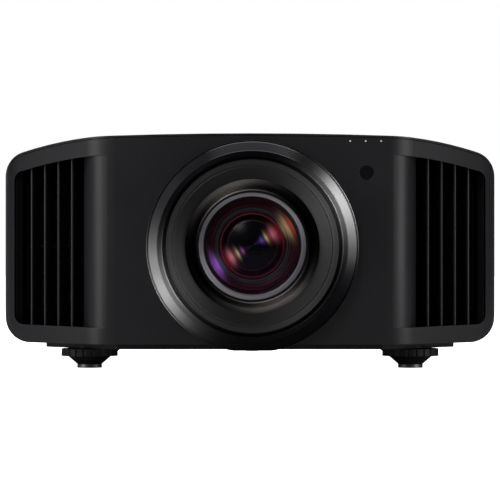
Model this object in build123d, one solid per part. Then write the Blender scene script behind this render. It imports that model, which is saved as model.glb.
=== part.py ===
from build123d import *
from math import asin, cos, pi, radians, sin, sqrt, tan
import os

# Home projector. Millimetres, +Z up, +X right as seen from the front, the lens looks along -Y.
# The origin is the centre of the overall box, on the surface that the feet stand on.

# ---- overall case ----
WIDTH = 500.0
DEPTH = 518.0
HEIGHT = 234.0
BEZEL_PROUD = 18.0          # lens bezel ahead of the front panel
SHELL_Z = 26.0              # underside of the outer shell
BASE_Z = 20.0               # underside of the base tray
SKIN = 2.8                  # wall of the moulded shell
GAP = 0.5                   # shadow gap between shell mouldings
REAR_EDGE_R = 5.0           # softened edge round the back

HALF_W = WIDTH / 2
FACE_Y = -DEPTH / 2 + BEZEL_PROUD
BACK_Y = DEPTH / 2

# ---- plan outline ----
FACE_HALF = 149.5           # half width of the flat face, to the virtual corner
SWEEP = 45.0                # angle of the swept-back corners
BEND_R = 38.0
SIDE_R = 51.0
REAR_R = 34.0

# ---- front elevation outline: three tangent arcs over a square base ----
CROWN_R = 4000.0
CROWN_HALF = 140.0
HAUNCH_R = 386.0
SHOULDER_R = 28.0
SILL_R = 28.0

# ---- shell split lines ----
COVER_EDGE = 2.2            # height of the cover's front edge
COVER_HALF = 243.0          # the cover's front sheet stops here, on the shoulder
ROOF = 2.0                  # front panel's roof under the cover
FRONT_SPLIT_Y = -108.0
REAR_SPLIT_Y = 226.0
SKIRT_Z = 60.0              # lower edge of the cover's side skirts
RIM_INSET = 38.0            # the shell's turned-in bottom rim
TRAY_INSET = 41.5
TRAY_WALL = 2.5
FLANGE_INSET = 29.0

# ---- lens axis ----
LENS_X = 2.4
LENS_Z = 122.8

# ---- lens bezel and funnel radii ----
BEZEL_FLANGE_R = 104.6      # thin rim that lies on the face round the bezel
BEZEL_FLANGE_T = 1.9
BEZEL_R = 102.8
BEZEL_FACE_R = 93.4
BEZEL_LIP_R = 88.6
BEZEL_GROOVE_R = 85.5
BEZEL_SHELF_R = 80.0
PANEL_HOLE_R = 90.0
FUNNEL_RING_R = 80.4
FUNNEL_MOUTH_R = 77.4

# ---- lens travel ----
SHIFT_V = 6.5
SHIFT_H = 5.3
FOCUS_TRAVEL = 2.0
ZOOM_TRAVEL = 8.0

# ---- lens barrel: everything round the glass follows the glass ----
GLASS_R = 48.0
CELL_RIM = 5.0              # front cell's wall outside the glass
BARREL_WALL = 2.0
BORE_R = GLASS_R + CELL_RIM
BARREL_R = BORE_R + BARREL_WALL
BARREL_TAIL_R = BARREL_R - 5.0
ZOOM_BORE_R = GLASS_R - 6.0
ZOOM_GLASS_R = ZOOM_BORE_R - 8.0
CELL_CLEAR = 0.05
THROAT_CLEAR = 5.0          # daylight round the barrel when it is shifted fully
FUNNEL_THROAT_R = BARREL_R + SHIFT_V + THROAT_CLEAR
DISH_R = FUNNEL_THROAT_R + SHIFT_V + 9.0

# ---- side vents ----
VENT_IN_X = 141.0
VENT_OUT_X = 238.8
VENT_TOP_DROP = 18.8        # below the arch
VENT_LOW_Z = 42.3
VENT_LOW_OUT_Z = 44.0
VENT_CORNER_R = 10.0
RETURN_R = 26.4
RETURN_LEAD = 6.0           # the inner return leaves the face this far before the opening
RETURN_TURN = 78.0
VENT_WALL_DEEP = 12.0       # outer wall of the opening, square to the swept face
SLAT_FIRST_X = 177.0
SLAT_PITCH = 14.4
SLAT_COUNT = 4
SLAT_SET_BACK = 9.0
SLAT_T = 3.0
SLAT_LEN = 26.0
SLAT_LEAN = 15.0

# ---- feet ----
FOOT_X = 162.5
FOOT_FRONT_Y = -150.0
FOOT_BACK_Y = 190.0
FOOT_WHEEL_R = 28.5
FOOT_WHEEL_LOW = 12.0
FOOT_WHEEL_TOP = 19.5
FOOT_TRAVEL = 10.0
STUD_R = 6.0
STUD_TOP = 56.0
RUN_FIT = 0.05              # radial clearance of a running fit

# ---- shift carriages ----
ROD_R = 4.0
SCREW_R = 2.5
SCREW_CLEAR = 0.5

# ---- ceiling mount ----
MOUNT_X = 280.0
MOUNT_Y = 300.0
MOUNT_MID_Y = 10.0
M5_R = 2.5
MOUNT_DEEP = 12.0

os.makedirs("parts", exist_ok=True)
MADE = {}


def save(name, shape):
    """Write one node; a list becomes a group of separate solids."""
    if isinstance(shape, (list, tuple)):
        solids = [s for item in shape for s in item.solids()]
        shape = Compound(children=solids) if len(solids) > 1 else solids[0]
    elif len(shape.solids()) == 1:
        shape = shape.solids()[0]
    else:
        shape = Compound(children=list(shape.solids()))
    MADE[name] = shape
    export_step(shape, f"parts/{name}.step")
    return shape


def block(x0, x1, y0, y1, z0, z1):
    """A box between two corners."""
    return Pos((x0 + x1) / 2, (y0 + y1) / 2, (z0 + z1) / 2) * Box(x1 - x0, y1 - y0, z1 - z0)


def rod(axis, r, a, b, u, v):
    """A round bar along an axis from a to b; u and v are its place on the other two axes in order."""
    length = b - a
    mid = (a + b) / 2
    if axis == "x":
        return Pos(mid, u, v) * Rot(0, 90, 0) * Cylinder(r, length)
    if axis == "y":
        return Pos(u, mid, v) * Rot(90, 0, 0) * Cylinder(r, length)
    return Pos(u, v, mid) * Cylinder(r, length)


def turned(points, x=LENS_X, z=LENS_Z):
    """A solid of revolution about a fore-and-aft axis, from (radius, y) points."""
    face = make_face(Polyline([(r, y) for r, y in points], close=True))
    solid = revolve(face, Axis.Y)
    return Pos(x, 0, z) * solid


def plan_face(inset=0.0):
    """Plan outline of the case, drawn inward by inset."""
    half = HALF_W - inset
    front = FACE_Y + inset
    back = BACK_Y - inset
    face = FACE_HALF - inset * tan(radians(SWEEP / 2))
    side_y = front + (half - face) * tan(radians(SWEEP))
    points = [(face, front), (half, side_y), (half, back), (-half, back), (-half, side_y), (-face, front)]
    radii = [max(r - inset, 2.0) for r in (BEND_R, SIDE_R, REAR_R, REAR_R, SIDE_R, BEND_R)]
    return make_face(FilletPolyline(*points, radius=radii, close=True))


def arch_points():
    """Centres and joints of the three arcs of the roof, for x > 0."""
    tilt = asin(CROWN_HALF / CROWN_R)
    crown_z = HEIGHT - CROWN_R
    haunch = ((CROWN_R - HAUNCH_R) * sin(tilt), crown_z + (CROWN_R - HAUNCH_R) * cos(tilt))
    shoulder_x = HALF_W - SHOULDER_R
    lean = asin((shoulder_x - haunch[0]) / (HAUNCH_R - SHOULDER_R))
    shoulder = (shoulder_x, haunch[1] + (HAUNCH_R - SHOULDER_R) * cos(lean))
    return tilt, lean, (0.0, crown_z), haunch, shoulder


def on_arc(centre, r, angle):
    """Point at an angle from straight up."""
    return (centre[0] + r * sin(angle), centre[1] + r * cos(angle))


def roof_z(x):
    """Height of the roof's outer surface at x."""
    tilt, lean, crown, haunch, shoulder = arch_points()
    x = abs(x)
    if x <= CROWN_HALF:
        return crown[1] + sqrt(CROWN_R ** 2 - x ** 2)
    if x <= on_arc(haunch, HAUNCH_R, lean)[0]:
        return haunch[1] + sqrt(HAUNCH_R ** 2 - (x - haunch[0]) ** 2)
    return shoulder[1] + sqrt(max(SHOULDER_R ** 2 - (x - shoulder[0]) ** 2, 0))


def arch_face(inset=0.0, drop=0.0):
    """Front elevation outline on the XZ plane, drawn inward by inset and its roof lowered by drop."""
    tilt, lean, crown, haunch, shoulder = arch_points()
    low = SHELL_Z + inset
    half = HALF_W - inset
    sill_r = max(SILL_R - inset, 2.0)

    def arc(centre, r, start, end):
        pts = [on_arc(centre, r - inset, a) for a in (start, (start + end) / 2, end)]
        return [(px, pz - drop) for px, pz in pts]

    crown_arc = arc(crown, CROWN_R, -tilt, tilt)
    edges = [ThreePointArc(*crown_arc)]
    for side in (1, -1):
        for centre, r, start, end in ((haunch, HAUNCH_R, tilt, lean), (shoulder, SHOULDER_R, lean, pi / 2)):
            pts = arc(centre, r, start, end)
            edges.append(ThreePointArc(*[(side * px, pz) for px, pz in pts]))
        top = (side * half, arc(shoulder, SHOULDER_R, lean, pi / 2)[2][1])
        heel = (side * half, low + sill_r)
        toe = (side * (half - sill_r), low)
        bend = sill_r * (1 - cos(pi / 4))
        edges.append(Line(top, heel))
        edges.append(ThreePointArc(heel, (side * (half - bend), low + bend), toe))
    edges.append(Line((-(half - sill_r), low), (half - sill_r, low)))
    return Plane.XZ * make_face(Wire(edges=Curve(children=edges).edges()))


def case_solid(inset=0.0, drop=0.0):
    """The case as a solid: the plan outline carried up, cut to the front elevation."""
    up = Pos(0, 0, -5) * extrude(plan_face(inset), HEIGHT + 20)
    through = extrude(arch_face(inset, drop), DEPTH, both=True)
    return up & through


def vent_outline(side):
    """Front elevation of one vent opening; its top edge runs parallel to the roof."""
    xs = [VENT_IN_X, (VENT_IN_X + VENT_OUT_X) / 2, VENT_OUT_X - VENT_CORNER_R]
    top = [(x, roof_z(x) - VENT_TOP_DROP) for x in xs]
    out_top = (VENT_OUT_X, top[2][1] - VENT_CORNER_R)
    out_low = (VENT_OUT_X, VENT_LOW_OUT_Z + VENT_CORNER_R)
    toe = (VENT_OUT_X - VENT_CORNER_R, VENT_LOW_OUT_Z)
    bend = VENT_CORNER_R * (1 - cos(pi / 4))
    edges = [
        ThreePointArc(*top),
        ThreePointArc(top[2], (VENT_OUT_X - bend, top[2][1] - bend), out_top),
        Line(out_top, out_low),
        ThreePointArc(out_low, (VENT_OUT_X - bend, VENT_LOW_OUT_Z + bend), toe),
        Line(toe, (VENT_IN_X, VENT_LOW_Z)),
        Line((VENT_IN_X, VENT_LOW_Z), top[0]),
    ]
    face = make_face(Wire(edges=Curve(children=edges).edges()))
    face = Plane.XZ * face
    return face if side > 0 else face.mirror(Plane.YZ)


def both_sides(shape):
    """The shape and its mirror image across the middle plane."""
    return [shape, shape.mirror(Plane.YZ)]


# ---------------------------------------------------------------- shell
case = case_solid()
outer = fillet(case.faces().sort_by(Axis.Y)[-1].edges(), REAR_EDGE_R)
cavity = case_solid(SKIN)
seam_drop = COVER_EDGE + GAP
under_cover = case_solid(0.0, seam_drop)
front_cavity = case_solid(SKIN, seam_drop + ROOF - SKIN)
FAR = 600.0
bottom_hole = Pos(0, 0, BASE_Z - 5) * extrude(plan_face(RIM_INSET), SKIN + SHELL_Z - BASE_Z + 6)


def front_cover_band(lower, grow):
    """The wedge of the case that belongs to the cover ahead of the split."""
    band = case - case_solid(0.0, lower)
    return band & block(-COVER_HALF - grow, COVER_HALF + grow, -FAR, FRONT_SPLIT_Y, SHELL_Z, HEIGHT + 5)


cover_front = front_cover_band(COVER_EDGE, 0.0)
cover_keep = front_cover_band(seam_drop, GAP)


def vent_return():
    """Right-hand inner return of a vent: the flat face curls back into the case."""
    start_x = VENT_IN_X - RETURN_LEAD
    end = radians(RETURN_TURN)
    centre = (start_x, FACE_Y + RETURN_R)

    def curl(r, angle):
        return (centre[0] + r * sin(angle), centre[1] - r * cos(angle))

    inner_r = RETURN_R - SKIN
    tail = 22.0
    way = (cos(end), sin(end))
    outer_end, inner_end = curl(RETURN_R, end), curl(inner_r, end)
    outer_tail = (outer_end[0] + tail * way[0], outer_end[1] + tail * way[1])
    inner_tail = (inner_end[0] + tail * way[0], inner_end[1] + tail * way[1])
    edges = [
        ThreePointArc(curl(RETURN_R, 0), curl(RETURN_R, end / 2), outer_end),
        Line(outer_end, outer_tail),
        Line(outer_tail, inner_tail),
        Line(inner_tail, inner_end),
        ThreePointArc(inner_end, curl(inner_r, end / 2), curl(inner_r, 0)),
        Line(curl(inner_r, 0), curl(RETURN_R, 0)),
    ]
    section = make_face(Wire(edges=Curve(children=edges).edges()))
    wall = Pos(0, 0, VENT_LOW_Z - 6) * extrude(section, roof_z(VENT_IN_X) - VENT_TOP_DROP - VENT_LOW_Z + 12)
    return wall & under_cover


WINDOW_R = 7.0
WINDOW_X = 114.7
WINDOW_Z = LENS_Z + 72.5
LIGHT_XS = (98.6, 113.8, 129.0)
LIGHT_Z = LENS_Z + 103.6
LIGHT_R = 0.9
CHIN_DEEP = 26.0
CHIN_WALL = 3.4


def front_panel():
    shell = (case - cover_keep) & block(-FAR, FAR, -FAR, FRONT_SPLIT_Y - GAP, 0, HEIGHT + 5)
    shell = shell - front_cavity - bottom_hole
    # lens opening, and the chin that backs the bezel below the shell
    chin = rod("y", BEZEL_FLANGE_R - 0.2, FACE_Y, FACE_Y + CHIN_DEEP, LENS_X, LENS_Z)
    chin = chin - rod("y", BEZEL_FLANGE_R - CHIN_WALL, FACE_Y - 1, FACE_Y + CHIN_DEEP - CHIN_WALL, LENS_X,
                      LENS_Z)
    chin = chin & block(-BEZEL_R, BEZEL_R, FACE_Y, FACE_Y + CHIN_DEEP, BASE_Z, SHELL_Z + SKIN)
    shell = shell + chin
    shell = shell - rod("y", PANEL_HOLE_R, FACE_Y - 5, FACE_Y + SKIN + 3, LENS_X, LENS_Z)
    vents = [extrude(vent_outline(s), FAR) & block(-FAR, FAR, -FAR, FRONT_SPLIT_Y - 12, 0, HEIGHT)
             for s in (1, -1)]
    shell = shell - vents[0] - vents[1]
    for piece in both_sides(vent_return()):
        shell = shell + piece
    # holes for the sensor window and the three lights
    shell = shell - rod("y", WINDOW_R + 0.2, FACE_Y - 1, FACE_Y + SKIN + 1, WINDOW_X, WINDOW_Z)
    for x in LIGHT_XS:
        shell = shell - rod("y", LIGHT_R, FACE_Y - 1, FACE_Y + SKIN + 3, x, LIGHT_Z)
    return shell


save("front_panel", front_panel())

INLAY_X0, INLAY_X1 = -34.0, 37.0
INLAY_SET = 6.0             # from the face to the inlay's front end
INLAY_BACK = 20.0           # from the rear split to its back end
INLAY_DEEP = 0.9
COVER_SCREW_XS = (-150.0, -60.0, 60.0, 150.0)
COVER_SCREW_Y = REAR_SPLIT_Y - 8.0
SCREW_R_CASE = 1.6
SCREW_HEAD_R = 3.2
HEAD_SINK = 1.3


def top_cover():
    middle = block(-FAR, FAR, FRONT_SPLIT_Y, REAR_SPLIT_Y, SKIRT_Z, HEIGHT + 5)
    cover = ((case - cavity) & middle) + cover_front
    cover = cover - block(INLAY_X0, INLAY_X1, FACE_Y + INLAY_SET, REAR_SPLIT_Y - INLAY_BACK,
                          HEIGHT - INLAY_DEEP, HEIGHT + 5)
    for x in COVER_SCREW_XS:
        cover = cover - rod("z", SCREW_R_CASE + 0.1, HEIGHT - 14, HEIGHT + 2, x, COVER_SCREW_Y)
        cover = cover - rod("z", SCREW_HEAD_R + 0.3, roof_z(x) - HEAD_SINK, HEIGHT + 2, x, COVER_SCREW_Y)
    return cover


save("top_cover", top_cover())
save("top_inlay", block(INLAY_X0 + 0.2, INLAY_X1 - 0.2, FACE_Y + INLAY_SET + 0.2,
                        REAR_SPLIT_Y - INLAY_BACK - 0.2,
                        HEIGHT - INLAY_DEEP, HEIGHT - 0.25))


def lower_sides():
    """The lower half of the side walls, with the turned-in rim that the base tray hangs on."""
    shell = case - cavity - bottom_hole
    return shell & block(-FAR, FAR, FRONT_SPLIT_Y, REAR_SPLIT_Y, 0, SKIRT_Z - GAP)


save("lower_sides", lower_sides())

# ---------------------------------------------------------------- base tray and feet
FLANGE_T = 2.5
FLANGE_Z = SHELL_Z + SKIN
FLOOR_Z = BASE_Z + TRAY_WALL
TRAY_TOP = FLANGE_Z + FLANGE_T
BUSH_R = 11.0
BUSH_TOP = STUD_TOP - 8.0
FEET = {
    "front_left": (-FOOT_X, FOOT_FRONT_Y),
    "front_right": (FOOT_X, FOOT_FRONT_Y),
}
REAR_FEET = [(-FOOT_X, FOOT_BACK_Y), (FOOT_X, FOOT_BACK_Y)]
BOARD_POSTS = [(x, y) for x in (-190.0, -84.0) for y in (6.0, 190.0)]
SUPPLY_POSTS = [(x, y) for x in (92.0, 186.0) for y in (10.0, 160.0)]
POST_R = 3.5
BOARD_Z = 60.0
SUPPLY_Z = BASE_Z + MOUNT_DEEP + 2
SLOT_ROWS = 6               # cooling slots in the floor
SLOT_FIRST_Y = -60.0
SLOT_PITCH = 12.0
SLOT_W = 4.0
SLOT_HALF_X = 60.0
MOUNT_POINTS = [(sx * MOUNT_X / 2, MOUNT_MID_Y + sy * MOUNT_Y / 2) for sx in (-1, 1) for sy in (-1, 1)]
BOSS_R = 8.0


def base_tray():
    tray = Pos(0, 0, BASE_Z) * extrude(plan_face(TRAY_INSET), TRAY_TOP - BASE_Z)
    tray = tray - Pos(0, 0, FLOOR_Z) * extrude(plan_face(TRAY_INSET + TRAY_WALL), TRAY_TOP)
    flange = Pos(0, 0, FLANGE_Z) * extrude(plan_face(FLANGE_INSET), FLANGE_T)
    flange = flange - Pos(0, 0, FLANGE_Z - 1) * extrude(plan_face(TRAY_INSET + TRAY_WALL), FLANGE_T + 2)
    tray = tray + flange
    for x, y in FEET.values():
        # a tall boss guides each adjustable foot's stud
        tray = tray + rod("z", BUSH_R, BASE_Z, BUSH_TOP, x, y) + rod("z", BUSH_R + 4, BASE_Z, TRAY_TOP, x,
                                                                     y)
        tray = tray - rod("z", STUD_R + RUN_FIT, BASE_Z - 1, BUSH_TOP + 1, x, y)
    for x, y in BOARD_POSTS:
        tray = tray + rod("z", POST_R, FLOOR_Z - 1, BOARD_Z, x, y)
    for x, y in SUPPLY_POSTS:
        tray = tray + rod("z", POST_R, FLOOR_Z - 1, SUPPLY_Z, x, y)
    for x, y in MOUNT_POINTS:
        tray = tray + rod("z", BOSS_R, BASE_Z, BASE_Z + MOUNT_DEEP + 2, x, y)
        tray = tray - rod("z", M5_R, BASE_Z - 1, BASE_Z + MOUNT_DEEP, x, y)
    for row in range(SLOT_ROWS):
        y = SLOT_FIRST_Y + row * SLOT_PITCH
        tray = tray - block(-SLOT_HALF_X, SLOT_HALF_X, y, y + SLOT_W, BASE_Z - 1, FLOOR_Z + 1)
    return tray


save("base_tray", base_tray())

PAD_R = 12.5
PAD_T = 3.6
CONE_TOP_R = 22.0
LOBES = 22
HUB_R = STUD_R + 5.0


def foot_leg(x, y):
    """Round pad and screwed stud; it rises and falls with the wheel but slides straight here."""
    pad = Pos(x, y, PAD_T / 2) * Cylinder(PAD_R, PAD_T)
    pad = pad - Pos(x, y, 0) * Cylinder(PAD_R - 3, 1.2)
    stud = rod("z", STUD_R, PAD_T, STUD_TOP, x, y)
    return pad + stud


def foot_wheel(x, y):
    """Castellated thumb wheel over a cone, bored to turn on the stud."""
    cone = Pos(x, y, (PAD_T + 0.2 + FOOT_WHEEL_LOW) / 2) * Cone(PAD_R, CONE_TOP_R,
                                                                FOOT_WHEEL_LOW - PAD_T - 0.2)
    rim = Pos(x, y, (FOOT_WHEEL_LOW + FOOT_WHEEL_TOP) / 2) * Cylinder(FOOT_WHEEL_R,
                                                                    FOOT_WHEEL_TOP - FOOT_WHEEL_LOW)
    notch = Pos(FOOT_WHEEL_R + 0.4, 0, 0) * Cylinder(1.7, FOOT_WHEEL_TOP)
    ring = [Rot(0, 0, 360 * i / LOBES) * notch for i in range(LOBES)]
    rim = rim - [Pos(x, y, FOOT_WHEEL_TOP / 2 + FOOT_WHEEL_LOW) * cut for cut in ring]
    return cone + rim - rod("z", STUD_R + RUN_FIT, -1, STUD_TOP, x, y)


save("rear_feet", [Pos(x, y, PAD_T / 2) * Cylinder(PAD_R, PAD_T)
                   + Pos(x, y, (PAD_T + FOOT_WHEEL_LOW) / 2) * Cone(PAD_R, CONE_TOP_R,
                                                                    FOOT_WHEEL_LOW - PAD_T)
                   + rod("z", FOOT_WHEEL_R - 3, FOOT_WHEEL_LOW, BASE_Z, x, y) for x, y in REAR_FEET])
for name, (x, y) in FEET.items():
    save(f"foot_leg_{name}", foot_leg(x, y))
    save(f"foot_wheel_{name}", foot_wheel(x, y))

# ---------------------------------------------------------------- front fittings
front_window = rod("y", WINDOW_R, FACE_Y + 0.2, FACE_Y + SKIN + 1.5, WINDOW_X, WINDOW_Z)
front_window = front_window + rod("y", WINDOW_R + 2, FACE_Y + SKIN, FACE_Y + SKIN + 1.5, WINDOW_X, WINDOW_Z)
save("indicator_lights", [rod("y", LIGHT_R, FACE_Y + 0.1, FACE_Y + SKIN + 2, x, LIGHT_Z) for x in LIGHT_XS])

# lens bezel: a turned ring on the face, with a sleeve through the panel
RING_FRONT_Y = -DEPTH / 2
SHELF_Y = FACE_Y - 9.0
SLEEVE_BACK_Y = FACE_Y + SKIN + 3
FLANGE_LOW_Z = BASE_Z + 0.3
bezel = turned([
    (BEZEL_FLANGE_R, FACE_Y), (BEZEL_FLANGE_R, FACE_Y - BEZEL_FLANGE_T + 0.5),
    (BEZEL_FLANGE_R - 0.5, FACE_Y - BEZEL_FLANGE_T), (BEZEL_R + 0.6, FACE_Y - BEZEL_FLANGE_T),
    (BEZEL_R, FACE_Y - BEZEL_FLANGE_T + 0.9),
    (BEZEL_R, FACE_Y - 9.5), (BEZEL_R - 0.8, FACE_Y - 10.6), (BEZEL_FACE_R + 0.6, RING_FRONT_Y + 0.7),
    (BEZEL_FACE_R, RING_FRONT_Y), (BEZEL_LIP_R + 0.6, RING_FRONT_Y), (BEZEL_LIP_R, RING_FRONT_Y + 0.6),
    (BEZEL_LIP_R - 0.9, SHELF_Y), (BEZEL_SHELF_R, SHELF_Y), (BEZEL_SHELF_R, SLEEVE_BACK_Y),
    (PANEL_HOLE_R - 0.2, SLEEVE_BACK_Y), (PANEL_HOLE_R - 0.2, FACE_Y)])
save("lens_bezel", bezel - block(-FAR, FAR, FACE_Y - BEZEL_FLANGE_T - 1, FACE_Y + 1, 0, FLANGE_LOW_Z))

# funnel: satin ring, fine bright step, dark cone down to the throat
THROAT_Y = -229.0
THROAT_T = 3.0
save("lens_funnel", turned([
    (BEZEL_GROOVE_R, SHELF_Y), (BEZEL_GROOVE_R, RING_FRONT_Y + 5.0),
    (BEZEL_GROOVE_R - 0.7, RING_FRONT_Y + 4.2),
    (FUNNEL_RING_R + 0.3, RING_FRONT_Y + 5.2), (FUNNEL_RING_R - 0.6, RING_FRONT_Y + 6.0),
    (FUNNEL_RING_R - 1.4, RING_FRONT_Y + 7.0), (FUNNEL_MOUTH_R + 0.6, RING_FRONT_Y + 6.4),
    (FUNNEL_MOUTH_R, RING_FRONT_Y + 7.0), (FUNNEL_THROAT_R + 0.5, THROAT_Y - 0.5),
    (FUNNEL_THROAT_R, THROAT_Y + 0.5),
    (FUNNEL_THROAT_R, THROAT_Y + THROAT_T), (FUNNEL_THROAT_R + 3.0, THROAT_Y + THROAT_T),
    (FUNNEL_MOUTH_R + 2.2, SHELF_Y + 0.6), (FUNNEL_MOUTH_R + 2.2, SHELF_Y)]))

# ---------------------------------------------------------------- lens unit
NOSE_Y = -236.5             # front of the barrel
DISH_Y = -217.0             # flat of the dish behind the throat
DISH_T = 1.6
DISH_FILLET = 7.0
PLATE_V = (-113.0, -99.0)   # vertical shift carriage, front and back
PLATE_H = (-134.0, -120.0)  # horizontal shift carriage
FRAME_Y = (-95.0, -87.0)
BARREL_BACK_Y = -72.0
STEP_Y = -188.0             # the barrel's bore steps down behind the front cell

barrel = turned([(BORE_R, NOSE_Y), (BARREL_R - 0.6, NOSE_Y), (BARREL_R, NOSE_Y + 0.6),
                 (BARREL_R, PLATE_H[0]),
                 (BARREL_TAIL_R, PLATE_H[0]), (BARREL_TAIL_R, BARREL_BACK_Y), (ZOOM_BORE_R, BARREL_BACK_Y),
                 (ZOOM_BORE_R, STEP_Y), (BORE_R, STEP_Y)])
save("lens_barrel", barrel)


def lens_dish():
    """Glossy dish that closes the gap behind the throat at every lens shift."""
    r0 = BARREL_R
    f = DISH_FILLET
    tilt = f * (1 - cos(pi / 4))
    front = [Line((r0 + 1.2, NOSE_Y + 2), (r0 + 1.2, DISH_Y - f)),
             ThreePointArc((r0 + 1.2, DISH_Y - f), (r0 + 1.2 + tilt, DISH_Y - tilt),
                           (r0 + 1.2 + f, DISH_Y)),
             Line((r0 + 1.2 + f, DISH_Y), (DISH_R, DISH_Y)),
             Line((DISH_R, DISH_Y), (DISH_R, DISH_Y + DISH_T)),
             Line((DISH_R, DISH_Y + DISH_T), (r0, DISH_Y + DISH_T)),
             Line((r0, DISH_Y + DISH_T), (r0, NOSE_Y + 2)),
             Line((r0, NOSE_Y + 2), (r0 + 1.2, NOSE_Y + 2))]
    face = make_face(Wire(edges=Curve(children=front).edges()))
    return Pos(LENS_X, 0, LENS_Z) * revolve(face, Axis.Y)


save("lens_dish", lens_dish())

CELL_FRONT_Y = NOSE_Y - 2.0
CELL_BACK_Y = STEP_Y - 6.0
GLASS_EDGE_Y = CELL_FRONT_Y + 2.2
GLASS_SAG = 5.0
SEAT_R = GLASS_R - 3.0
cell = turned([(GLASS_R + 0.2, CELL_FRONT_Y + 0.9), (GLASS_R + 1.1, CELL_FRONT_Y),
               (BORE_R - 0.9, CELL_FRONT_Y),
               (BORE_R - CELL_CLEAR, CELL_FRONT_Y + 0.8), (BORE_R - CELL_CLEAR, CELL_BACK_Y),
               (SEAT_R, CELL_BACK_Y),
               (SEAT_R, GLASS_EDGE_Y + 6.0), (GLASS_R, GLASS_EDGE_Y + 6.0), (GLASS_R, CELL_FRONT_Y + 1.1)])
save("front_cell", cell)


def ball(r, edge_y, sag):
    """The ball whose surface passes through a rim of radius r and stands sag ahead of it."""
    ball_r = (r ** 2 + sag ** 2) / (2 * sag)
    return Pos(LENS_X, edge_y - sag + ball_r, LENS_Z) * Sphere(ball_r)


def lens_element(r, edge_y, front_sag, thick, back_sag):
    """A round glass element, domed at the front; a positive back_sag hollows its back."""
    blank = rod("y", r, edge_y - front_sag - 1, edge_y + thick, LENS_X, LENS_Z)
    return (blank & ball(r, edge_y, front_sag)) - ball(r - 3.0, edge_y + thick, back_sag)


save("front_glass", lens_element(GLASS_R, GLASS_EDGE_Y, GLASS_SAG, 6.0, 2.0))

ZOOM_Y = (-150.0, -118.0)
save("zoom_cell", turned([(ZOOM_GLASS_R, ZOOM_Y[0]), (ZOOM_BORE_R - CELL_CLEAR, ZOOM_Y[0]),
                          (ZOOM_BORE_R - CELL_CLEAR, ZOOM_Y[1]), (ZOOM_GLASS_R, ZOOM_Y[1])]))
save("zoom_glass", lens_element(ZOOM_GLASS_R, ZOOM_Y[0] + 8, 5.0, 9.0, 2.0))

# ---- focus and zoom gears ----
MODULE = 1.5
GEAR_RIM = 3.2              # solid rim between the barrel and the tooth roots
RING_TEETH = 2 * round((BARREL_R + GEAR_RIM + 1.2 * MODULE) / MODULE)
PINION_TEETH = 10
TOOTH = 1.7
RING_PITCH_R = MODULE * RING_TEETH / 2
PINION_PITCH_R = MODULE * PINION_TEETH / 2
MOTOR_R = 5.5
SHAFT_R = 1.5
FOCUS_Y = (-176.0, -166.0)
ZOOM_GEAR_Y = (-160.0, -150.0)


def gear(teeth, y0, y1, bore, x, z, first_tooth):
    """Spur gear about a fore-and-aft axis; first_tooth is the angle of one tooth, in degrees."""
    pitch_r = MODULE * teeth / 2
    root, tip = pitch_r - 1.2 * MODULE, pitch_r + 0.85 * MODULE
    body = rod("y", root, y0, y1, x, z)
    tooth_face = make_face(Polyline([(root - 1, -TOOTH * 0.65), (tip, -TOOTH * 0.32), (tip, TOOTH * 0.32),
                                     (root - 1, TOOTH * 0.65)], close=True))
    tooth = extrude(Plane.XZ * tooth_face, y1 - y0)
    tooth = Pos(0, y1, 0) * tooth
    ring = [Pos(x, 0, z) * Rot(0, first_tooth + 360 * i / teeth, 0) * tooth for i in range(teeth)]
    return body + ring - rod("y", bore, y0 - 1, y1 + 1, x, z)


def pinion_place(angle):
    """Centre of a pinion in mesh at an angle from straight up, clockwise from the front."""
    reach = RING_PITCH_R + PINION_PITCH_R
    return LENS_X + reach * sin(radians(angle)), LENS_Z + reach * cos(radians(angle))


MESH = {"focus": (22.5, FOCUS_Y), "zoom": (-22.5, ZOOM_GEAR_Y)}
for name, (angle, (y0, y1)) in MESH.items():
    px, pz = pinion_place(angle)
    # the ring puts a gap on the line of centres, and the pinion a tooth
    line = -90.0 + angle
    save(f"{name}_ring", gear(RING_TEETH, y0, y1, BARREL_R + RUN_FIT, LENS_X, LENS_Z,
                              line + 180 / RING_TEETH))
    save(f"{name}_pinion", gear(PINION_TEETH, y0 + 1, y1 - 1, SHAFT_R + RUN_FIT, px, pz, line + 180))

motors = []
for name, (angle, (y0, y1)) in MESH.items():
    px, pz = pinion_place(angle)
    motors.append(rod("y", MOTOR_R, y1 + 0.5, PLATE_H[0], px, pz) + rod("y", SHAFT_R, y0, y1 + 0.6, px, pz))
save("lens_motors", motors)

# ---- shift carriages ----
SHIFT_GAP = 4.0
LUG_T = 8.0
TAIL_HOLE_R = BARREL_TAIL_R + SHIFT_H + 2.0     # the lens moves inside this hole
V_ROD_X = TAIL_HOLE_R + ROD_R + 10.7
V_ROD_Y = (PLATE_V[0] + PLATE_V[1]) / 2
H_ROD_Z = BARREL_TAIL_R + ROD_R + 4.0
H_ROD_Y = (PLATE_H[0] + PLATE_H[1]) / 2
V_HALF_X, V_HALF_Z = V_ROD_X + 14.0, H_ROD_Z + 8.0
H_HALF_X, H_HALF_Z = BARREL_TAIL_R + 18.0, H_ROD_Z + 6.0
V_SCREW_X = -V_ROD_X - 8.0
H_SCREW_Z = -H_ROD_Z - 11.0


def horizontal_plate():
    plate = block(LENS_X - H_HALF_X, LENS_X + H_HALF_X, *PLATE_H, LENS_Z - H_HALF_Z - 10, LENS_Z + H_HALF_Z)
    plate = plate - rod("y", BARREL_TAIL_R, PLATE_H[0] - 1, PLATE_H[1] + 1, LENS_X, LENS_Z)
    for side in (-1, 1):
        plate = plate - rod("x", ROD_R + RUN_FIT, LENS_X - FAR, LENS_X + FAR, H_ROD_Y,
                            LENS_Z + side * H_ROD_Z)
    plate = plate - rod("x", SCREW_R + SCREW_CLEAR, LENS_X - FAR, LENS_X + FAR, H_ROD_Y, LENS_Z + H_SCREW_Z)
    return plate


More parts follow.
